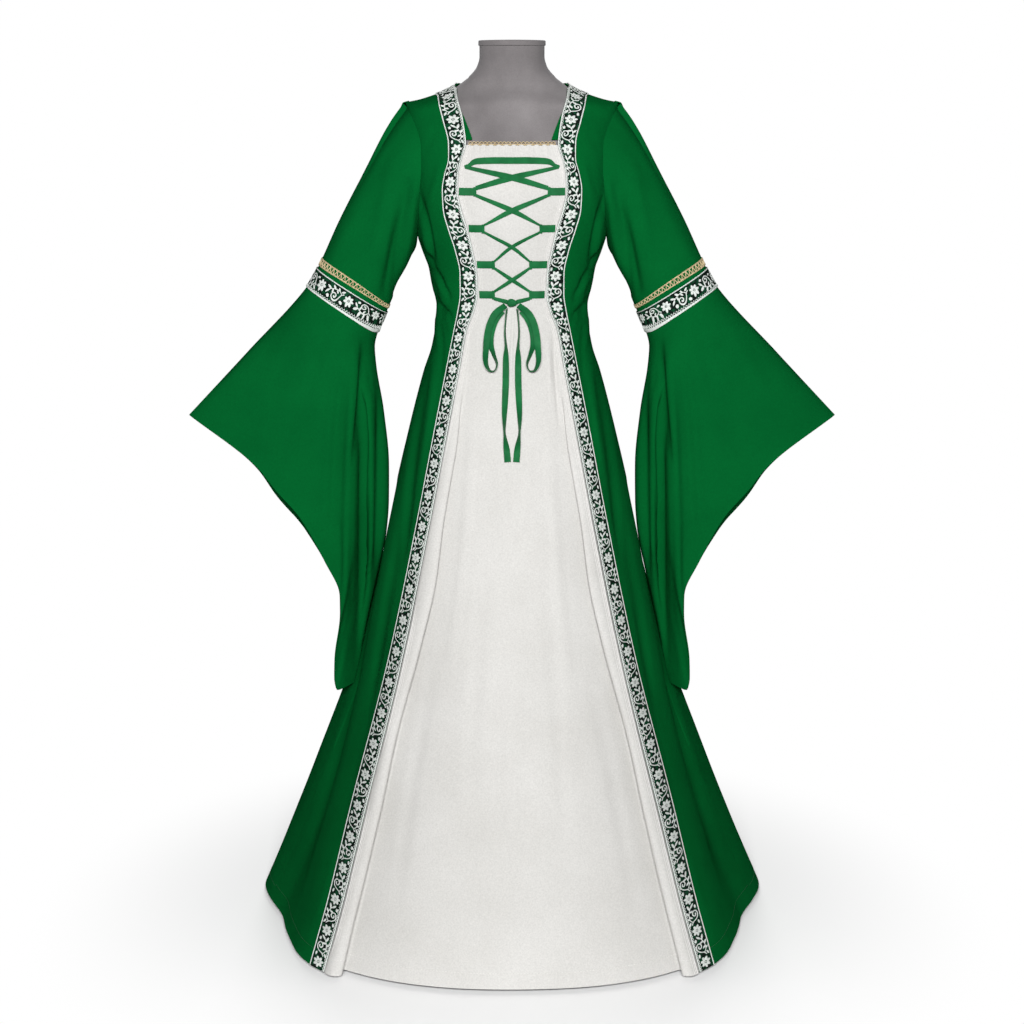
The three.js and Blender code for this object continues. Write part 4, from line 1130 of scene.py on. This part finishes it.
def braid_grid():
    height = spaced(HEM, LAST_LEVEL, 5)
    inner, outer = braid_places(height)
    across = np.linspace(0, 1, 9)[:, None]
    places = inner[:, None] + (outer - inner)[:, None] * across
    top_inner, top_outer = shoulder_places("inner"), shoulder_places("outer")
    top = top_inner + (top_outer - top_inner) * across
    last = [mix(places[-1], top, t) for t in (0.33, 0.66, 1)]
    places = np.concatenate([places, last])
    return on_body(places[..., 0], places[..., 1])


# The sleeves


def tube_point(along, turn):
    outer = np.stack([UPPER("outer_side", along), np.zeros(np.shape(along)),
                      UPPER("outer_height", along)], -1)
    inner = np.stack([UPPER("inner_side", along), np.zeros(np.shape(along)),
                      UPPER("inner_height", along)], -1)
    angle = np.radians(turn)
    point = mix(outer, inner, ((1 - np.cos(angle)) / 2)[..., None])
    point[..., 1] -= UPPER("depth", along) * np.sin(angle)
    return point


def upper_grid():
    turn = np.linspace(0, 360, 120, endpoint=False)
    front = on_body(*armhole_place(np.clip(1 - turn / 180, 0, 1), False).T)
    behind = on_main(*armhole_place(np.clip(turn / 180 - 1, 0, 1), True).T)
    armhole = np.where((turn <= 180)[:, None], front, behind)
    along = np.linspace(0, 1, 48)[:, None]
    along, turns = np.broadcast_arrays(along, turn)
    base = tube_point(along, turns)
    shift = armhole - tube_point(np.zeros(len(turn)), turn)
    grid = base + shift * (1 - ease(along / ARMHOLE_BLEND))[..., None]
    away = unit(grid[4] - grid[0])
    bend = np.maximum(0, np.cos(np.radians(turn))) ** 2
    grid[0] += away * (CAP_GAP - CAP_TUCK * bend)[:, None]
    grid[-1] += unit(grid[-2] - grid[-1]) * SEAM / 2
    side = grid[..., 0] + np.where(grid[..., 1] > 0, CREASE_SHIFT["sleeve"], 0.0)
    lift = crease_lift(side, grid[..., 2], SLEEVE_CREASES)
    lift *= ease(along * 8) * ease((1 - along) * 5)
    return lifted(grid, lift, closed=True)


def bell_view(along, across):
    def line(curve, t):
        return np.stack([curve("side", t), np.zeros(np.shape(t)), curve("height", t)], -1)

    along, across = np.broadcast_arrays(along, across)
    zero, one = np.zeros(along.shape), np.ones(along.shape)
    a, c = along[..., None], across[..., None]
    top = mix(line(BELL_OUTER, zero), line(BELL_INNER, zero), c)
    sides = mix(line(BELL_OUTER, along), line(BELL_INNER, along), c)
    hem_line = mix(line(BELL_HEM, zero), line(BELL_HEM, one), c)
    return mix(top, line(BELL_HEM, across), a) + sides - mix(top, hem_line, a)


def bell_point(along, across, front):
    """Points of the bell. front is true where they are on its front layer."""
    point = bell_view(along, across)
    along, across, front = np.broadcast_arrays(along, across, front)
    sine = 2 * np.sqrt(np.maximum(0, across * (1 - across)))
    depth = BELL_DEPTH("depth", along) * sine ** BELL_DEPTH("power", along)
    fold = np.zeros(along.shape)
    for layer, side, height, to_side, to_height, half, deep in BELL_FOLDS:
        t = (height - point[..., 2]) / (height - to_height)
        near = bump((point[..., 0] - mix(side, to_side, t)) / half)
        run = ease((height - point[..., 2]) / FOLD_RUN_IN)
        fold += deep * near * run * (front == (layer == "front")) * (point[..., 2] <= height)
    fold *= np.minimum(1, depth / FOLD_DEPTH)
    drop = BACK_HEM_DROP * along ** 3 * bump((across - DROP_PLACE["at"]) / DROP_PLACE["half"])
    point[..., 2] -= np.where(front, 0, drop)
    point[..., 1] = BELL_DEPTH("back", along) * across + np.where(front, -1, 1) * (depth + fold)
    tilt = ease(along / 0.3) * point[..., 1] / EYE_AWAY
    point[..., 0] *= 1 + tilt
    point[..., 2] -= (EYE_LEVEL - point[..., 2]) * tilt
    return point


def bell_grid():
    columns = 92
    share = (1 - np.cos(np.linspace(0, math.pi, columns))) / 2
    share = mix(share, np.linspace(0, 1, columns), 0.75)
    across = np.concatenate([share, share[-2:0:-1]])
    front = np.concatenate([np.ones(columns, bool), np.zeros(columns - 2, bool)])
    along = np.linspace(0, 1, 84)[:, None]
    grid = bell_point(along, across, front)
    grid[0] += unit(grid[1] - grid[0]) * SEAM / 2
    side = grid[..., 0] + np.where(front, 0.0, CREASE_SHIFT["bell"])
    lift = crease_lift(side, grid[..., 2], BELL_CREASES)
    edges = ease(np.minimum(across, 1 - across) * 14)
    return lifted(grid, lift * edges * ease(along * 9), closed=True)


def wind_grid(edges, rows, columns=200):
    """A trim wound round the sleeve, slanting from its outer line to its inner line"""
    turn = np.linspace(0, 360, columns, endpoint=False)[None, :]
    across = (1 - np.cos(np.radians(turn))) / 2
    share = np.linspace(0, 1, rows)[:, None]
    along = mix(mix(*edges["outer"], share), mix(*edges["inner"], share), across)
    turn, across = np.broadcast_to(turn, along.shape), np.broadcast_to(across, along.shape)
    upper = tube_point(np.minimum(along, 1), turn)
    bell = bell_point(np.maximum(along - 1, 0), across, turn <= 180)
    return np.where((along <= 1)[..., None], upper, bell)


# Thread work: small raised strands laid on a strip of cloth


class Strip:
    """A strip of cloth. A place on it is across (-1 to 1), along (mm) and out (mm)"""

    def __init__(self, grid, closed=False, flip=False, raised=0.0):
        turned = np.swapaxes(grid, 0, 1) if closed else grid
        normal = grid_normals(grid, closed, flip)
        self.normal = np.swapaxes(normal, 0, 1) if closed else normal
        self.grid = turned + self.normal * raised
        if closed:
            self.grid = np.concatenate([self.grid, self.grid[:1]])
            self.normal = np.concatenate([self.normal, self.normal[:1]])
        middle = self.grid[:, self.grid.shape[1] // 2]
        steps = np.linalg.norm(np.diff(middle, axis=0), axis=1)
        self.along = np.concatenate([[0], np.cumsum(steps)])
        self.length = self.along[-1]

    def place(self, spots):
        across, along, out = np.asarray(spots, float).T
        high, wide = self.grid.shape[:2]
        i = np.interp(along, self.along, np.arange(high))
        j = np.clip((across + 1) / 2, 0, 1) * (wide - 1)
        i0 = np.clip(i.astype(int), 0, high - 2)
        j0 = np.clip(j.astype(int), 0, wide - 2)
        fi, fj = (i - i0)[:, None], (j - j0)[:, None]

        def read(values):
            low = mix(values[i0, j0], values[i0, j0 + 1], fj)
            return mix(low, mix(values[i0 + 1, j0], values[i0 + 1, j0 + 1], fj), fi)

        return read(self.grid) + unit(read(self.normal)) * out[:, None]


class Strands:
    """Collects strands as closed lengths of a low, rounded section"""

    SECTION = ((-1, 0.0), (-0.5, 0.85), (0.5, 0.85), (1, 0.0))

    def __init__(self):
        self.spots = []
        self.faces = []

    def add(self, line, wide, tall, half_width):
        """line is rows of across (mm) and along (mm). wide is one width or one a row."""
        line = np.asarray(line, float)
        way = unit(np.gradient(line, axis=0))
        side = np.stack([-way[:, 1], way[:, 0]], -1)
        wide = np.broadcast_to(wide, len(line))[:, None] / 2
        start = len(self.spots)
        corners = []
        for share, rise in self.SECTION:
            at = line + side * wide * share
            corners.append([at[:, 0] / half_width, at[:, 1], np.full(len(line), tall * rise)])
        self.spots.extend(np.transpose(corners, (2, 0, 1)).reshape(-1, 3).tolist())
        for i in range(len(line) - 1):
            a = start + 4 * i
            for k in range(4):
                b = (k + 1) % 4
                self.faces.append((a + k, a + b, a + 4 + b, a + 4 + k))
        last = start + 4 * (len(line) - 1)
        self.faces.append((start + 3, start + 2, start + 1, start))
        self.faces.append((last, last + 1, last + 2, last + 3))

    def repeated(self, count, pitch, offset, mirror_odd=True):
        """The collected strands, repeated along, with every other one turned over"""
        spots = np.array(self.spots)
        faces = np.array(self.faces)
        all_spots, all_faces = [], []
        for i in range(count):
            copy = spots.copy()
            turned = mirror_odd and i % 2
            if turned:
                copy[:, 0] *= -1
            copy[:, 1] += offset + i * pitch
            all_spots.append(copy)
            all_faces.append((faces[:, ::-1] if turned else faces) + i * len(spots))
        return np.concatenate(all_spots), np.concatenate(all_faces)


def strand_piece(name, strip, spots, faces, material, node=None):
    piece = new_object(name, strip.place(spots), np.asarray(faces).tolist(), material, 50)
    if node:
        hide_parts(node)


def petal(at, angle, length, wide):
    """A leaf or petal: its line, and its width along it"""
    t = np.linspace(0, 1, 6)
    line = np.array(at) + np.outer(t * length, [math.cos(angle), math.sin(angle)])
    return line, 0.25 + wide * np.sin(np.pi * (0.12 + 0.8 * t)) ** 0.8


# The braid's flower: place, length and width of each petal, and the ring in its middle
PETALS = 7
PETAL = {"from": 2.2, "long": 6.4, "wide": 4.3, "turned": 0.2}
EYE = 1.1
# Leaves and buds of the braid's spray: place (mm from the flower), direction, length, width
SPRAY = [
    (6.6, 15.5, 300, 6.4, 2.9),
    (6.9, 20.0, 35, 4.4, 2.8),
    (6.4, 24.0, 215, 5.6, 2.6),
    (6.2, 27.5, 50, 6.6, 3.2),
    (4.8, 31.5, 190, 7.6, 2.8),
    (3.6, 35.0, 70, 8.0, 3.3),
    (1.4, 37.0, 140, 8.0, 3.0),
    (-7.4, 34.0, 85, 5.0, 3.6),
    (-7.8, 9.0, 80, 5.6, 3.0),
]
# Where the curl and the stem run: across and along, in mm from the flower
CURL = [
    (5.4, 10.6), (2.2, 14.6), (-3.2, 16.8), (-7.6, 20.4), (-8.6, 25.8), (-5.8, 30.4),
    (-1.4, 29.6), (0.2, 25.6), (-2.6, 22.4), (-5.4, 24.2), (-4.4, 26.8),
]
STEM = [(2.4, 14.4), (6.0, 18.0), (7.0, 24.0), (5.2, 31.0), (1.6, 37.5)]


def motif(half_width):
    """One repeat of the braid's flower, curl and spray of leaves, in mm from its flower"""
    work = Strands()
    for k in range(PETALS):
        angle = 2 * math.pi * k / PETALS + PETAL["turned"]
        start = (PETAL["from"] * math.cos(angle), PETAL["from"] * math.sin(angle))
        line, wide = petal(start, angle, PETAL["long"], PETAL["wide"])
        work.add(line, wide, 0.55, half_width)
    turns = np.linspace(0, 2 * math.pi, 9)
    eye = np.stack([EYE * np.cos(turns), EYE * np.sin(turns)], -1)
    work.add(eye, 0.8, 0.7, half_width)
    curl = curve_points(CURL, 36)
    work.add(curl, np.linspace(1.5, 2.0, len(curl)), 0.5, half_width)
    work.add(curve_points(STEM, 14), 1.3, 0.45, half_width)
    for x, y, degrees, length, wide in SPRAY:
        line, width = petal((x, y), math.radians(degrees), length, wide)
        work.add(line, width, 0.5, half_width)
    return work


PITCH = 52.5  # from flower to flower
END_MARGIN = 3  # plain braid at both ends
FLOWER_REACH = 8  # from the start of a repeat to its flower
# The pale edges: width and distance in from the braid's edge
OUTER_EDGE = {"wide": 1.6, "inside": 0.85}
INNER_EDGE = {"wide": 1.9, "inside": 1.0}
PICOT = {"wide": 0.9, "inside": 3.0, "step": 2.3, "wave": 0.9}
EDGE_TALL = 0.7
# Half widths of the trims
BRAID_HALF = 13.5
BAND_HALF = 14.5
CROCHET_HALF = 5.5


def braid_work(name, strip, half_width, white_side, closed=False):
    """Everything woven into a braid: the motifs, and a pale edge on both sides"""
    margin = 0 if closed else END_MARGIN
    usable = strip.length - 2 * margin
    count = int(round(usable / PITCH))
    pitch = usable / count
    work = motif(half_width)
    spots, faces = work.repeated(count, pitch, margin + FLOWER_REACH)
    spots[:, 1] %= strip.length
    if closed:
        keep = np.ptp(spots[faces][..., 1], axis=1) < pitch
        faces = faces[keep]
    strand_piece(f"{name}_motifs", strip, spots, faces, PALE)
    edges = Strands()
    steps = int(strip.length / PICOT["step"])
    along = np.linspace(0, strip.length, steps)
    zigzag = PICOT["wave"] * np.where(np.arange(steps) % 2, 1, -1)
    for edge, side, wave in ((OUTER_EDGE, -1, 0), (INNER_EDGE, 1, 0), (PICOT, 1, 1)):
        reach = side * white_side * (half_width - edge["inside"])
        line = np.stack([reach + wave * zigzag, along], -1)
        edges.add(line, edge["wide"], EDGE_TALL, half_width)
    strand_piece(f"{name}_edges", strip, edges.spots, edges.faces, PALE)


CROCHET_PITCH = 7.6
CORD_INSIDE = 1.5


def crochet_round(name, strip, half_width, node):
    """Crochet trim: two cords, an open zigzag between them and picots along both edges"""
    count = int(strip.length / CROCHET_PITCH)
    pitch = strip.length / count
    work = Strands()
    reach = half_width - CORD_INSIDE
    zigzag = [(-reach, 0), (reach, pitch / 2), (-reach, pitch)]
    work.add(curve_points(zigzag, 8), 1.5, 1.0, half_width)
    arc = np.linspace(0, math.pi, 6)
    for side in (-1, 1):
        line = np.stack([np.full(4, side * reach), np.linspace(0, pitch, 4)], -1)
        work.add(line, 1.3, 1.2, half_width)
        for start in (0, pitch / 2):
            rise = side * (reach + 1.3 * np.sin(arc))
            picot = np.stack([rise, start + pitch * (0.25 - 0.25 * np.cos(arc))], -1)
            work.add(picot, 0.9, 0.8, half_width)
    spots, faces = work.repeated(count, pitch, 0, mirror_odd=False)
    strand_piece(name, strip, spots, faces, GOLD, node)


# The neck's crochet edging: how far it reaches to the sides, its levels and half width
EDGING_SIDE = 69
EDGING_LEVELS = (1299, 1306, 1313, 1320)
EDGING_HALF = 10.5
EDGING_REPEATS = 23
EDGING_BEHIND = 1.6  # behind the white panel's inner face and its gap


def neck_edging():
    """Crochet behind the gathered white edge: a narrow band, and scallops above it"""
    side = np.linspace(-EDGING_SIDE, EDGING_SIDE, 121)
    height = np.array(EDGING_LEVELS, float)[:, None]
    height, side = np.broadcast_arrays(height, side)
    azimuth = front_azimuth(np.abs(side), height)
    grid = on_main(azimuth, height)
    grid[..., 0] = side
    raised = -CLOTH - LAY - EDGING_BEHIND
    strip = Strip(np.swapaxes(grid, 0, 1), flip=True, raised=raised)
    pitch = strip.length / EDGING_REPEATS
    work = Strands()
    turn = np.linspace(0, 2 * math.pi, 13)
    for reach, size in ((3.6, 2.0), (-0.6, 1.9)):
        ring = np.stack([reach + size * np.cos(turn), pitch / 2 + 2.6 * np.sin(turn)], -1)
        work.add(ring, 1.1, 1.0, EDGING_HALF)
    arc = np.linspace(0, math.pi, 9)
    scallop = np.stack([6.2 + 3.4 * np.sin(arc), pitch * (0.5 - 0.5 * np.cos(arc))], -1)
    work.add(scallop, 1.2, 1.0, EDGING_HALF)
    for reach in (6.0, 1.5, -3.2, -8.4):
        line = np.stack([np.full(4, reach), np.linspace(0, pitch, 4)], -1)
        work.add(line, 1.2, 1.0, EDGING_HALF)
    spots, faces = work.repeated(EDGING_REPEATS, pitch, 0, mirror_odd=False)
    strand_piece("neck_crochet_work", strip, spots, faces, GOLD, "neck_crochet")


STITCH = {"long": 3.4, "gap": 1.6, "wide": 0.7, "rise": 0.42, "ends": 0.05, "sunk": 0.2}


def stitch_line(name, points, normals, material):
    """A row of running stitches laid along a line of points"""
    steps = np.linalg.norm(np.diff(points, axis=0), axis=1)
    along = np.concatenate([[0], np.cumsum(steps)])
    starts = np.arange(1.0, along[-1] - STITCH["long"], STITCH["long"] + STITCH["gap"])
    rise = np.array([STITCH["ends"], STITCH["rise"], STITCH["rise"], STITCH["ends"]])

    def read(values, at):
        return np.stack([np.interp(at, along, values[:, k]) for k in range(3)], -1)

    corners, faces = [], []
    for start in starts:
        at = start + STITCH["long"] * np.array([0, 0.25, 0.75, 1])
        middle = read(points, at)
        out = unit(read(normals, at))
        way = unit(middle[-1:] - middle[:1])
        side = np.cross(out, way) * STITCH["wide"] / 2
        base = len(corners)
        for k in range(4):
            corners.extend([middle[k] - side[k], middle[k] + out[k] * rise[k],
                            middle[k] + side[k], middle[k] - out[k] * STITCH["sunk"]])
        for k in range(3):
            a = base + 4 * k
            for m in range(4):
                b = (m + 1) % 4
                faces.append((a + m, a + b, a + 4 + b, a + 4 + m))
        faces.append((base + 3, base + 2, base + 1, base))
        faces.append((base + 12, base + 13, base + 14, base + 15))
    new_object(name, np.array(corners), faces, material)


PIPING = (0.6, 2.6, 4.6, 6.6, 8.6)  # distances from the braid's edge
# The piping's strands: place across it, width, height
PIPING_STRANDS = ((1.9, 2.0, 1.3), (-0.6, 1.1, 0.6), (-3.2, 0.8, 0.45))
PIPING_STEP = 6


def panel_line(grid, distance):
    """The panel's outermost points at a distance inside the braid's edge, row by row"""
    points = []
    for row in grid[:, grid.shape[1] // 2:]:
        target = BRAID("inner", row[-1, 2]) - distance
        j = np.flatnonzero((row[:-1, 0] < target) & (row[1:, 0] >= target))[-1]
        share = (target - row[j, 0]) / (row[j + 1, 0] - row[j, 0])
        points.append(mix(row[j], row[j + 1], share))
    return np.array(points)


def piping(white):
    """A corded fold and two fine rows on the white panel, beside each braid"""
    grid = np.stack([panel_line(white, d) for d in PIPING[::-1]], 1)
    for side_name, rows in (("left", grid), ("right", mirror(grid))):
        sign = 1 if side_name == "left" else -1
        strip = Strip(rows)
        half_width = (PIPING[-1] - PIPING[0]) / 2
        along = np.linspace(0, strip.length, int(strip.length / PIPING_STEP))
        work = Strands()
        for across, wide, tall in PIPING_STRANDS:
            line = np.stack([np.full(len(along), sign * across), along], -1)
            work.add(line, wide, tall, half_width)
        strand_piece(f"piping_{side_name}", strip, work.spots, work.faces, WHITE_THREAD)


def hem_stitches(name, grid, above, material, closed=False, flip=False):
    """Stitches a given distance above the first row of a grid, on its face"""
    rise = np.linalg.norm(np.diff(grid, axis=0), axis=-1).mean(1)
    row = int(np.searchsorted(np.cumsum(rise), above)) + 1
    normal = grid_normals(grid, closed, flip)[row]
    line = grid[row]
    if closed:
        line, normal = (np.concatenate([v, v[:1]]) for v in (line, normal))
    stitch_line(name, line, normal, material)


# Build the garment

# From a hem's edge to its stitches
SKIRT_STITCHES = 20
BELL_STITCHES = 9
TURNING_THICK = 1.0
TURNING_BEHIND = 0.8  # behind the green front's inner face
# From the cloth's face to the outer face of its trim
BRAID_FACE = LAY + TRIM
BAND_FACE = WIND + TRIM


def build_garment():
    white = white_grid()
    cloth_piece("white_front", white, WHITE, "white_cloth")
    hem_stitches("white_hem_stitches", white, SKIRT_STITCHES, WHITE_THREAD)
    piping(white)
    back = back_grid()
    cloth_piece("green_back", back, GREEN, "green_cloth", flip=True)
    hem_stitches("back_hem_stitches", back, SKIRT_STITCHES, GREEN_THREAD, flip=True)
    neck_edging()
    left = {
        "front": front_grid(),
        "turning": turning_grid(),
        "braid": braid_grid(),
        "upper": upper_grid(),
        "bell": bell_grid(),
        "band": wind_grid(BAND, 9),
        "crochet": wind_grid(CROCHET, 5),
    }
    for side_name in ("left", "right"):
        is_right = side_name == "right"
        grids = {key: mirror(grid) if is_right else grid for key, grid in left.items()}
        build_side(side_name, is_right, grids)


def build_side(side_name, is_right, grids):
    green = (GREEN, "green_cloth")
    cloth_piece(f"green_front_{side_name}", grids["front"], *green)
    hem_stitches(f"front_hem_stitches_{side_name}", grids["front"], SKIRT_STITCHES,
                 GREEN_THREAD)
    turning = shell(f"neck_turning_{side_name}_cloth", grids["turning"], *green,
                    thick=TURNING_THICK, raised=-CLOTH - TURNING_BEHIND)
    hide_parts(f"neck_turning_{side_name}")
    cloth_piece(f"sleeve_upper_{side_name}", grids["upper"], *green, closed=True)
    cloth_piece(f"sleeve_bell_{side_name}", grids["bell"], *green, "hung", closed=True)
    hem_stitches(f"bell_hem_stitches_{side_name}", grids["bell"], BELL_STITCHES,
                 GREEN_THREAD, closed=True)
    braid_side = 1 if is_right else -1
    for node, grid, face, half_width, white_side, closed in (
        (f"front_braid_{side_name}", grids["braid"], BRAID_FACE, BRAID_HALF, braid_side, False),
        (f"sleeve_band_{side_name}", grids["band"], BAND_FACE, BAND_HALF, 1, True),
    ):
        ground = shell(f"{node}_ground", grid, GROUND, "jacquard", TRIM, face, closed)
        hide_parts(node)
        strip = Strip(grid, closed=closed, raised=face)
        braid_work(node, strip, half_width, white_side, closed)
    strip = Strip(grids["crochet"], closed=True, raised=WIND)
    node = f"sleeve_crochet_{side_name}"
    crochet_round(f"{node}_work", strip, CROCHET_HALF, node)


build_garment()

# The form and its stand

NECK_TOP = 1466
CAP = {"radius": 54, "thick": 8.5, "dome": 1, "edge": 2, "back": 2.5}
POLE_RADIUS = 14
LATHE_SIDES = 128
BASE = {"radius": 150, "thick": 16, "edge": 5}
FORM_BENEATH = table(
    ["height", "gap"],
    [1045, 11],
    [1240, 12],
    [1300, 9],
    [1345, 10],
    [1370, 8],
    [1385, SHOULDER_GAP],
    [1466, SHOULDER_GAP],
)
HIPS = table(
    ["height", "side", "front", "back"],
    [800, 118, 84, 92],
    [806, 132, 94, 103],
    [825, 146, 102, 112],
    [860, 152, 104, 113],
    [900, 148, 101, 108],
    [940, 139, 98, 96],
    [990, 125, 91, 78],
    [1045, 119, 86, 63],
)
NECK_SEAM = {"front": 1412, "back": 1424, "half": 2.2, "depth": 0.7}
# The seam down the form's front, in degrees and mm, and how its shoulders' tips are drawn in
MIDDLE_SEAM = {"half": 1.1, "depth": 0.5, "above": 1300}
TIPS = {"height": 1352, "half": 62, "in": 14, "down": 8, "power": 10}


def across_from_front(azimuth):
    return (azimuth + 180) % 360 - 180


def form_grid():
    """The covered torso, in rings, with a stitched seam round the root of the neck"""
    azimuth = np.linspace(0, 360, 128, endpoint=False)
    low = np.concatenate([spaced(FORM_BOTTOM, 826, 3), spaced(832, PLEAT_TOP, 10)])[:, None]
    turn = np.radians(azimuth)
    depth = np.where(np.cos(turn) > 0, HIPS("front", low), HIPS("back", low))
    radius = 1 / np.hypot(np.sin(turn) / HIPS("side", low), np.cos(turn) / depth)
    hips = placed(azimuth, low, radius)
    high = np.concatenate([spaced(1050, 1340, 10), spaced(1344, NECK_TOP, 2.5)])[:, None]
    across, level = np.broadcast_arrays(azimuth, high)

    def at(a, h):
        return rounded_shoulder(placed(a, h, ring_radius(a, h)))

    normal = unit(np.cross(at(across + 1, level) - at(across - 1, level),
                           at(across, level + 1) - at(across, level - 1)))
    line = mix(NECK_SEAM["front"], NECK_SEAM["back"], (1 - np.cos(np.radians(across))) / 2)
    groove = NECK_SEAM["depth"] * bump((level - line) / NECK_SEAM["half"])
    middle = MIDDLE_SEAM["depth"] * bump(across_from_front(across) / MIDDLE_SEAM["half"])
    middle = middle * (level > MIDDLE_SEAM["above"])
    outward = np.stack([np.sin(np.radians(across)), -np.cos(np.radians(across))], -1)
    facing = normal[..., 2] + (normal[..., :2] * outward).sum(-1)
    normal = normal * np.where(facing < 0, -1, 1)[..., None]
    beneath = FORM_BENEATH("gap", level) + groove + middle
    body = at(across, level) - normal * beneath[..., None]
    sideways = np.abs(outward[..., 0]) ** TIPS["power"]
    tip = sideways * bump((level - TIPS["height"]) / TIPS["half"])
    body[..., 0] -= TIPS["in"] * tip * np.sign(body[..., 0])
    body[..., 2] -= TIPS["down"] * tip
    return np.concatenate([hips, body])


def lathe(node, part, profile, material, shift=(0, 0, 0)):
    """Rings from a profile of radius and height, closed at both ends"""
    turn = np.linspace(0, 2 * math.pi, LATHE_SIDES, endpoint=False)
    rings = [np.stack([r * np.cos(turn), r * np.sin(turn), np.full(LATHE_SIDES, h)], -1)
             for r, h in profile]
    piece = closed_rings(f"{node}_{part}", np.array(rings) + shift, material, 35)
    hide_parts(node)


def rounded(radius, thick, edge, dome=0.0):
    """Profile of a disc with a small lower edge and a rounded upper one"""
    profile = [(radius * 0.5, 0), (radius - edge * 0.4, 0), (radius, edge * 0.4)]
    for angle in np.linspace(0, 90, 9):
        turn = math.radians(angle)
        profile.append((radius - edge + edge * math.cos(turn), thick - edge + edge * math.sin(turn)))
    for share in (0.9, 0.7, 0.4, 0.1):
        profile.append((radius * share - edge * share, thick + dome * (1 - share ** 2)))
    return profile


def add_stand():
    torso = closed_rings("form_torso_cover", form_grid(), SUEDE, 60)
    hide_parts("form_torso")
    profile = rounded(CAP["radius"], CAP["thick"], CAP["edge"], CAP["dome"])
    shift = (0, CAP["back"], NECK_TOP + SEAM)
    lathe("form_neck_cap", "cover", profile, SUEDE, shift)
    low = BASE["thick"] + SEAM
    high = FORM_BOTTOM - SEAM
    profile = [(POLE_RADIUS - 1, low), (POLE_RADIUS, low + 1),
               (POLE_RADIUS, high - 1), (POLE_RADIUS - 1, high)]
    lathe("form_pole", "tube", profile, STEEL)
    profile = rounded(BASE["radius"], BASE["thick"], BASE["edge"])
    lathe("form_base", "plate", profile, STEEL)


add_stand()

# Floor and light, in metres

FLOOR_RADIUS = 9
FLOOR_FADE = (0.3, 0.85)  # distances from the middle between which the floor turns white
FLOOR_GLOW = 0.2  # how strongly the white floor lights the model
WORLD_GLOW = 0.06
SOFTBOX = {"away": 3.4, "high": 1.9, "aim": 0.7, "size": 0.6, "power": 86}
SOFTBOX_TURNS = (-5, 5)
BACK_BOX = {"away": 3.2, "high": 2.8, "aim": 0.9, "size": 1.8, "power": 85}

def add_floor():
    """A pale floor that fades into the white around it"""
    n = Nodes("floor")
    away = n.add("ShaderNodeVectorMath", {0: n.place}, operation="LENGTH").outputs["Value"]
    fade = {"Value": away, "From Min": FLOOR_FADE[0], "From Max": FLOOR_FADE[1]}
    far = n.add("ShaderNodeMapRange", fade, interpolation_type="SMOOTHSTEP").outputs["Result"]
    n.set(Base_Color=(0.92, 0.92, 0.92, 1.0), Roughness=0.9)
    seen = n.add("ShaderNodeLightPath").outputs["Is Camera Ray"]
    strength = n.add("ShaderNodeMapRange", {"Value": seen, "To Min": FLOOR_GLOW, "To Max": 1.0})
    glow = n.add("ShaderNodeEmission", {"Color": (1, 1, 1, 1), "Strength": strength.outputs[0]})
    both = n.add("ShaderNodeMixShader", {0: far, 1: n.shader.outputs[0], 2: glow.outputs[0]})
    n.tree.links.new(both.outputs[0], n.tree.nodes["Material Output"].inputs["Surface"])
    turn = np.linspace(0, 2 * math.pi, 96, endpoint=False)
    mesh = bpy.data.meshes.new("floor")
    ring = [(FLOOR_RADIUS * math.cos(a), FLOOR_RADIUS * math.sin(a), 0) for a in turn]
    mesh.from_pydata(ring, [], [tuple(range(len(ring)))])
    mesh.materials.append(n.material)
    floor = bpy.data.objects.new("floor", mesh)
    scene.collection.objects.link(floor)


def add_light(name, at, box):
    light = bpy.data.lights.new(name, "AREA")
    light.shape = "DISK"
    light.size = box["size"]
    light.energy = box["power"]
    lamp = bpy.data.objects.new(name, light)
    lamp.location = at
    way = np.array((0, 0, box["aim"])) - np.array(at)
    flat = math.hypot(way[0], way[1])
    lamp.rotation_euler = (math.atan2(flat, -way[2]), 0, math.atan2(-way[0], way[1]))
    scene.collection.objects.link(lamp)


def add_world():
    """White all round: full white where the camera sees it, softer as light"""
    world = bpy.data.worlds.new("studio")
    world.use_nodes = True
    scene.world = world
    tree = world.node_tree
    sky = tree.nodes["Background"]
    sky.inputs["Color"].default_value = (1, 1, 1, 1)
    seen = tree.nodes.new("ShaderNodeBackground")
    seen.inputs["Color"].default_value = (1, 1, 1, 1)
    seen.inputs["Strength"].default_value = 1.0
    sky.inputs["Strength"].default_value = WORLD_GLOW
    path = tree.nodes.new("ShaderNodeLightPath")
    both = tree.nodes.new("ShaderNodeMixShader")
    tree.links.new(path.outputs["Is Camera Ray"], both.inputs[0])
    tree.links.new(sky.outputs[0], both.inputs[1])
    tree.links.new(seen.outputs[0], both.inputs[2])
    tree.links.new(both.outputs[0], tree.nodes["World Output"].inputs["Surface"])


add_floor()
add_world()
for turn in SOFTBOX_TURNS:
    reach = math.radians(turn)
    at = (SOFTBOX["away"] * math.sin(reach), -SOFTBOX["away"] * math.cos(reach), SOFTBOX["high"])
    add_light(f"softbox_{turn}", at, SOFTBOX)
add_light("softbox_back", (0, BACK_BOX["away"], BACK_BOX["high"]), BACK_BOX)
scene.view_settings.view_transform = "Standard"
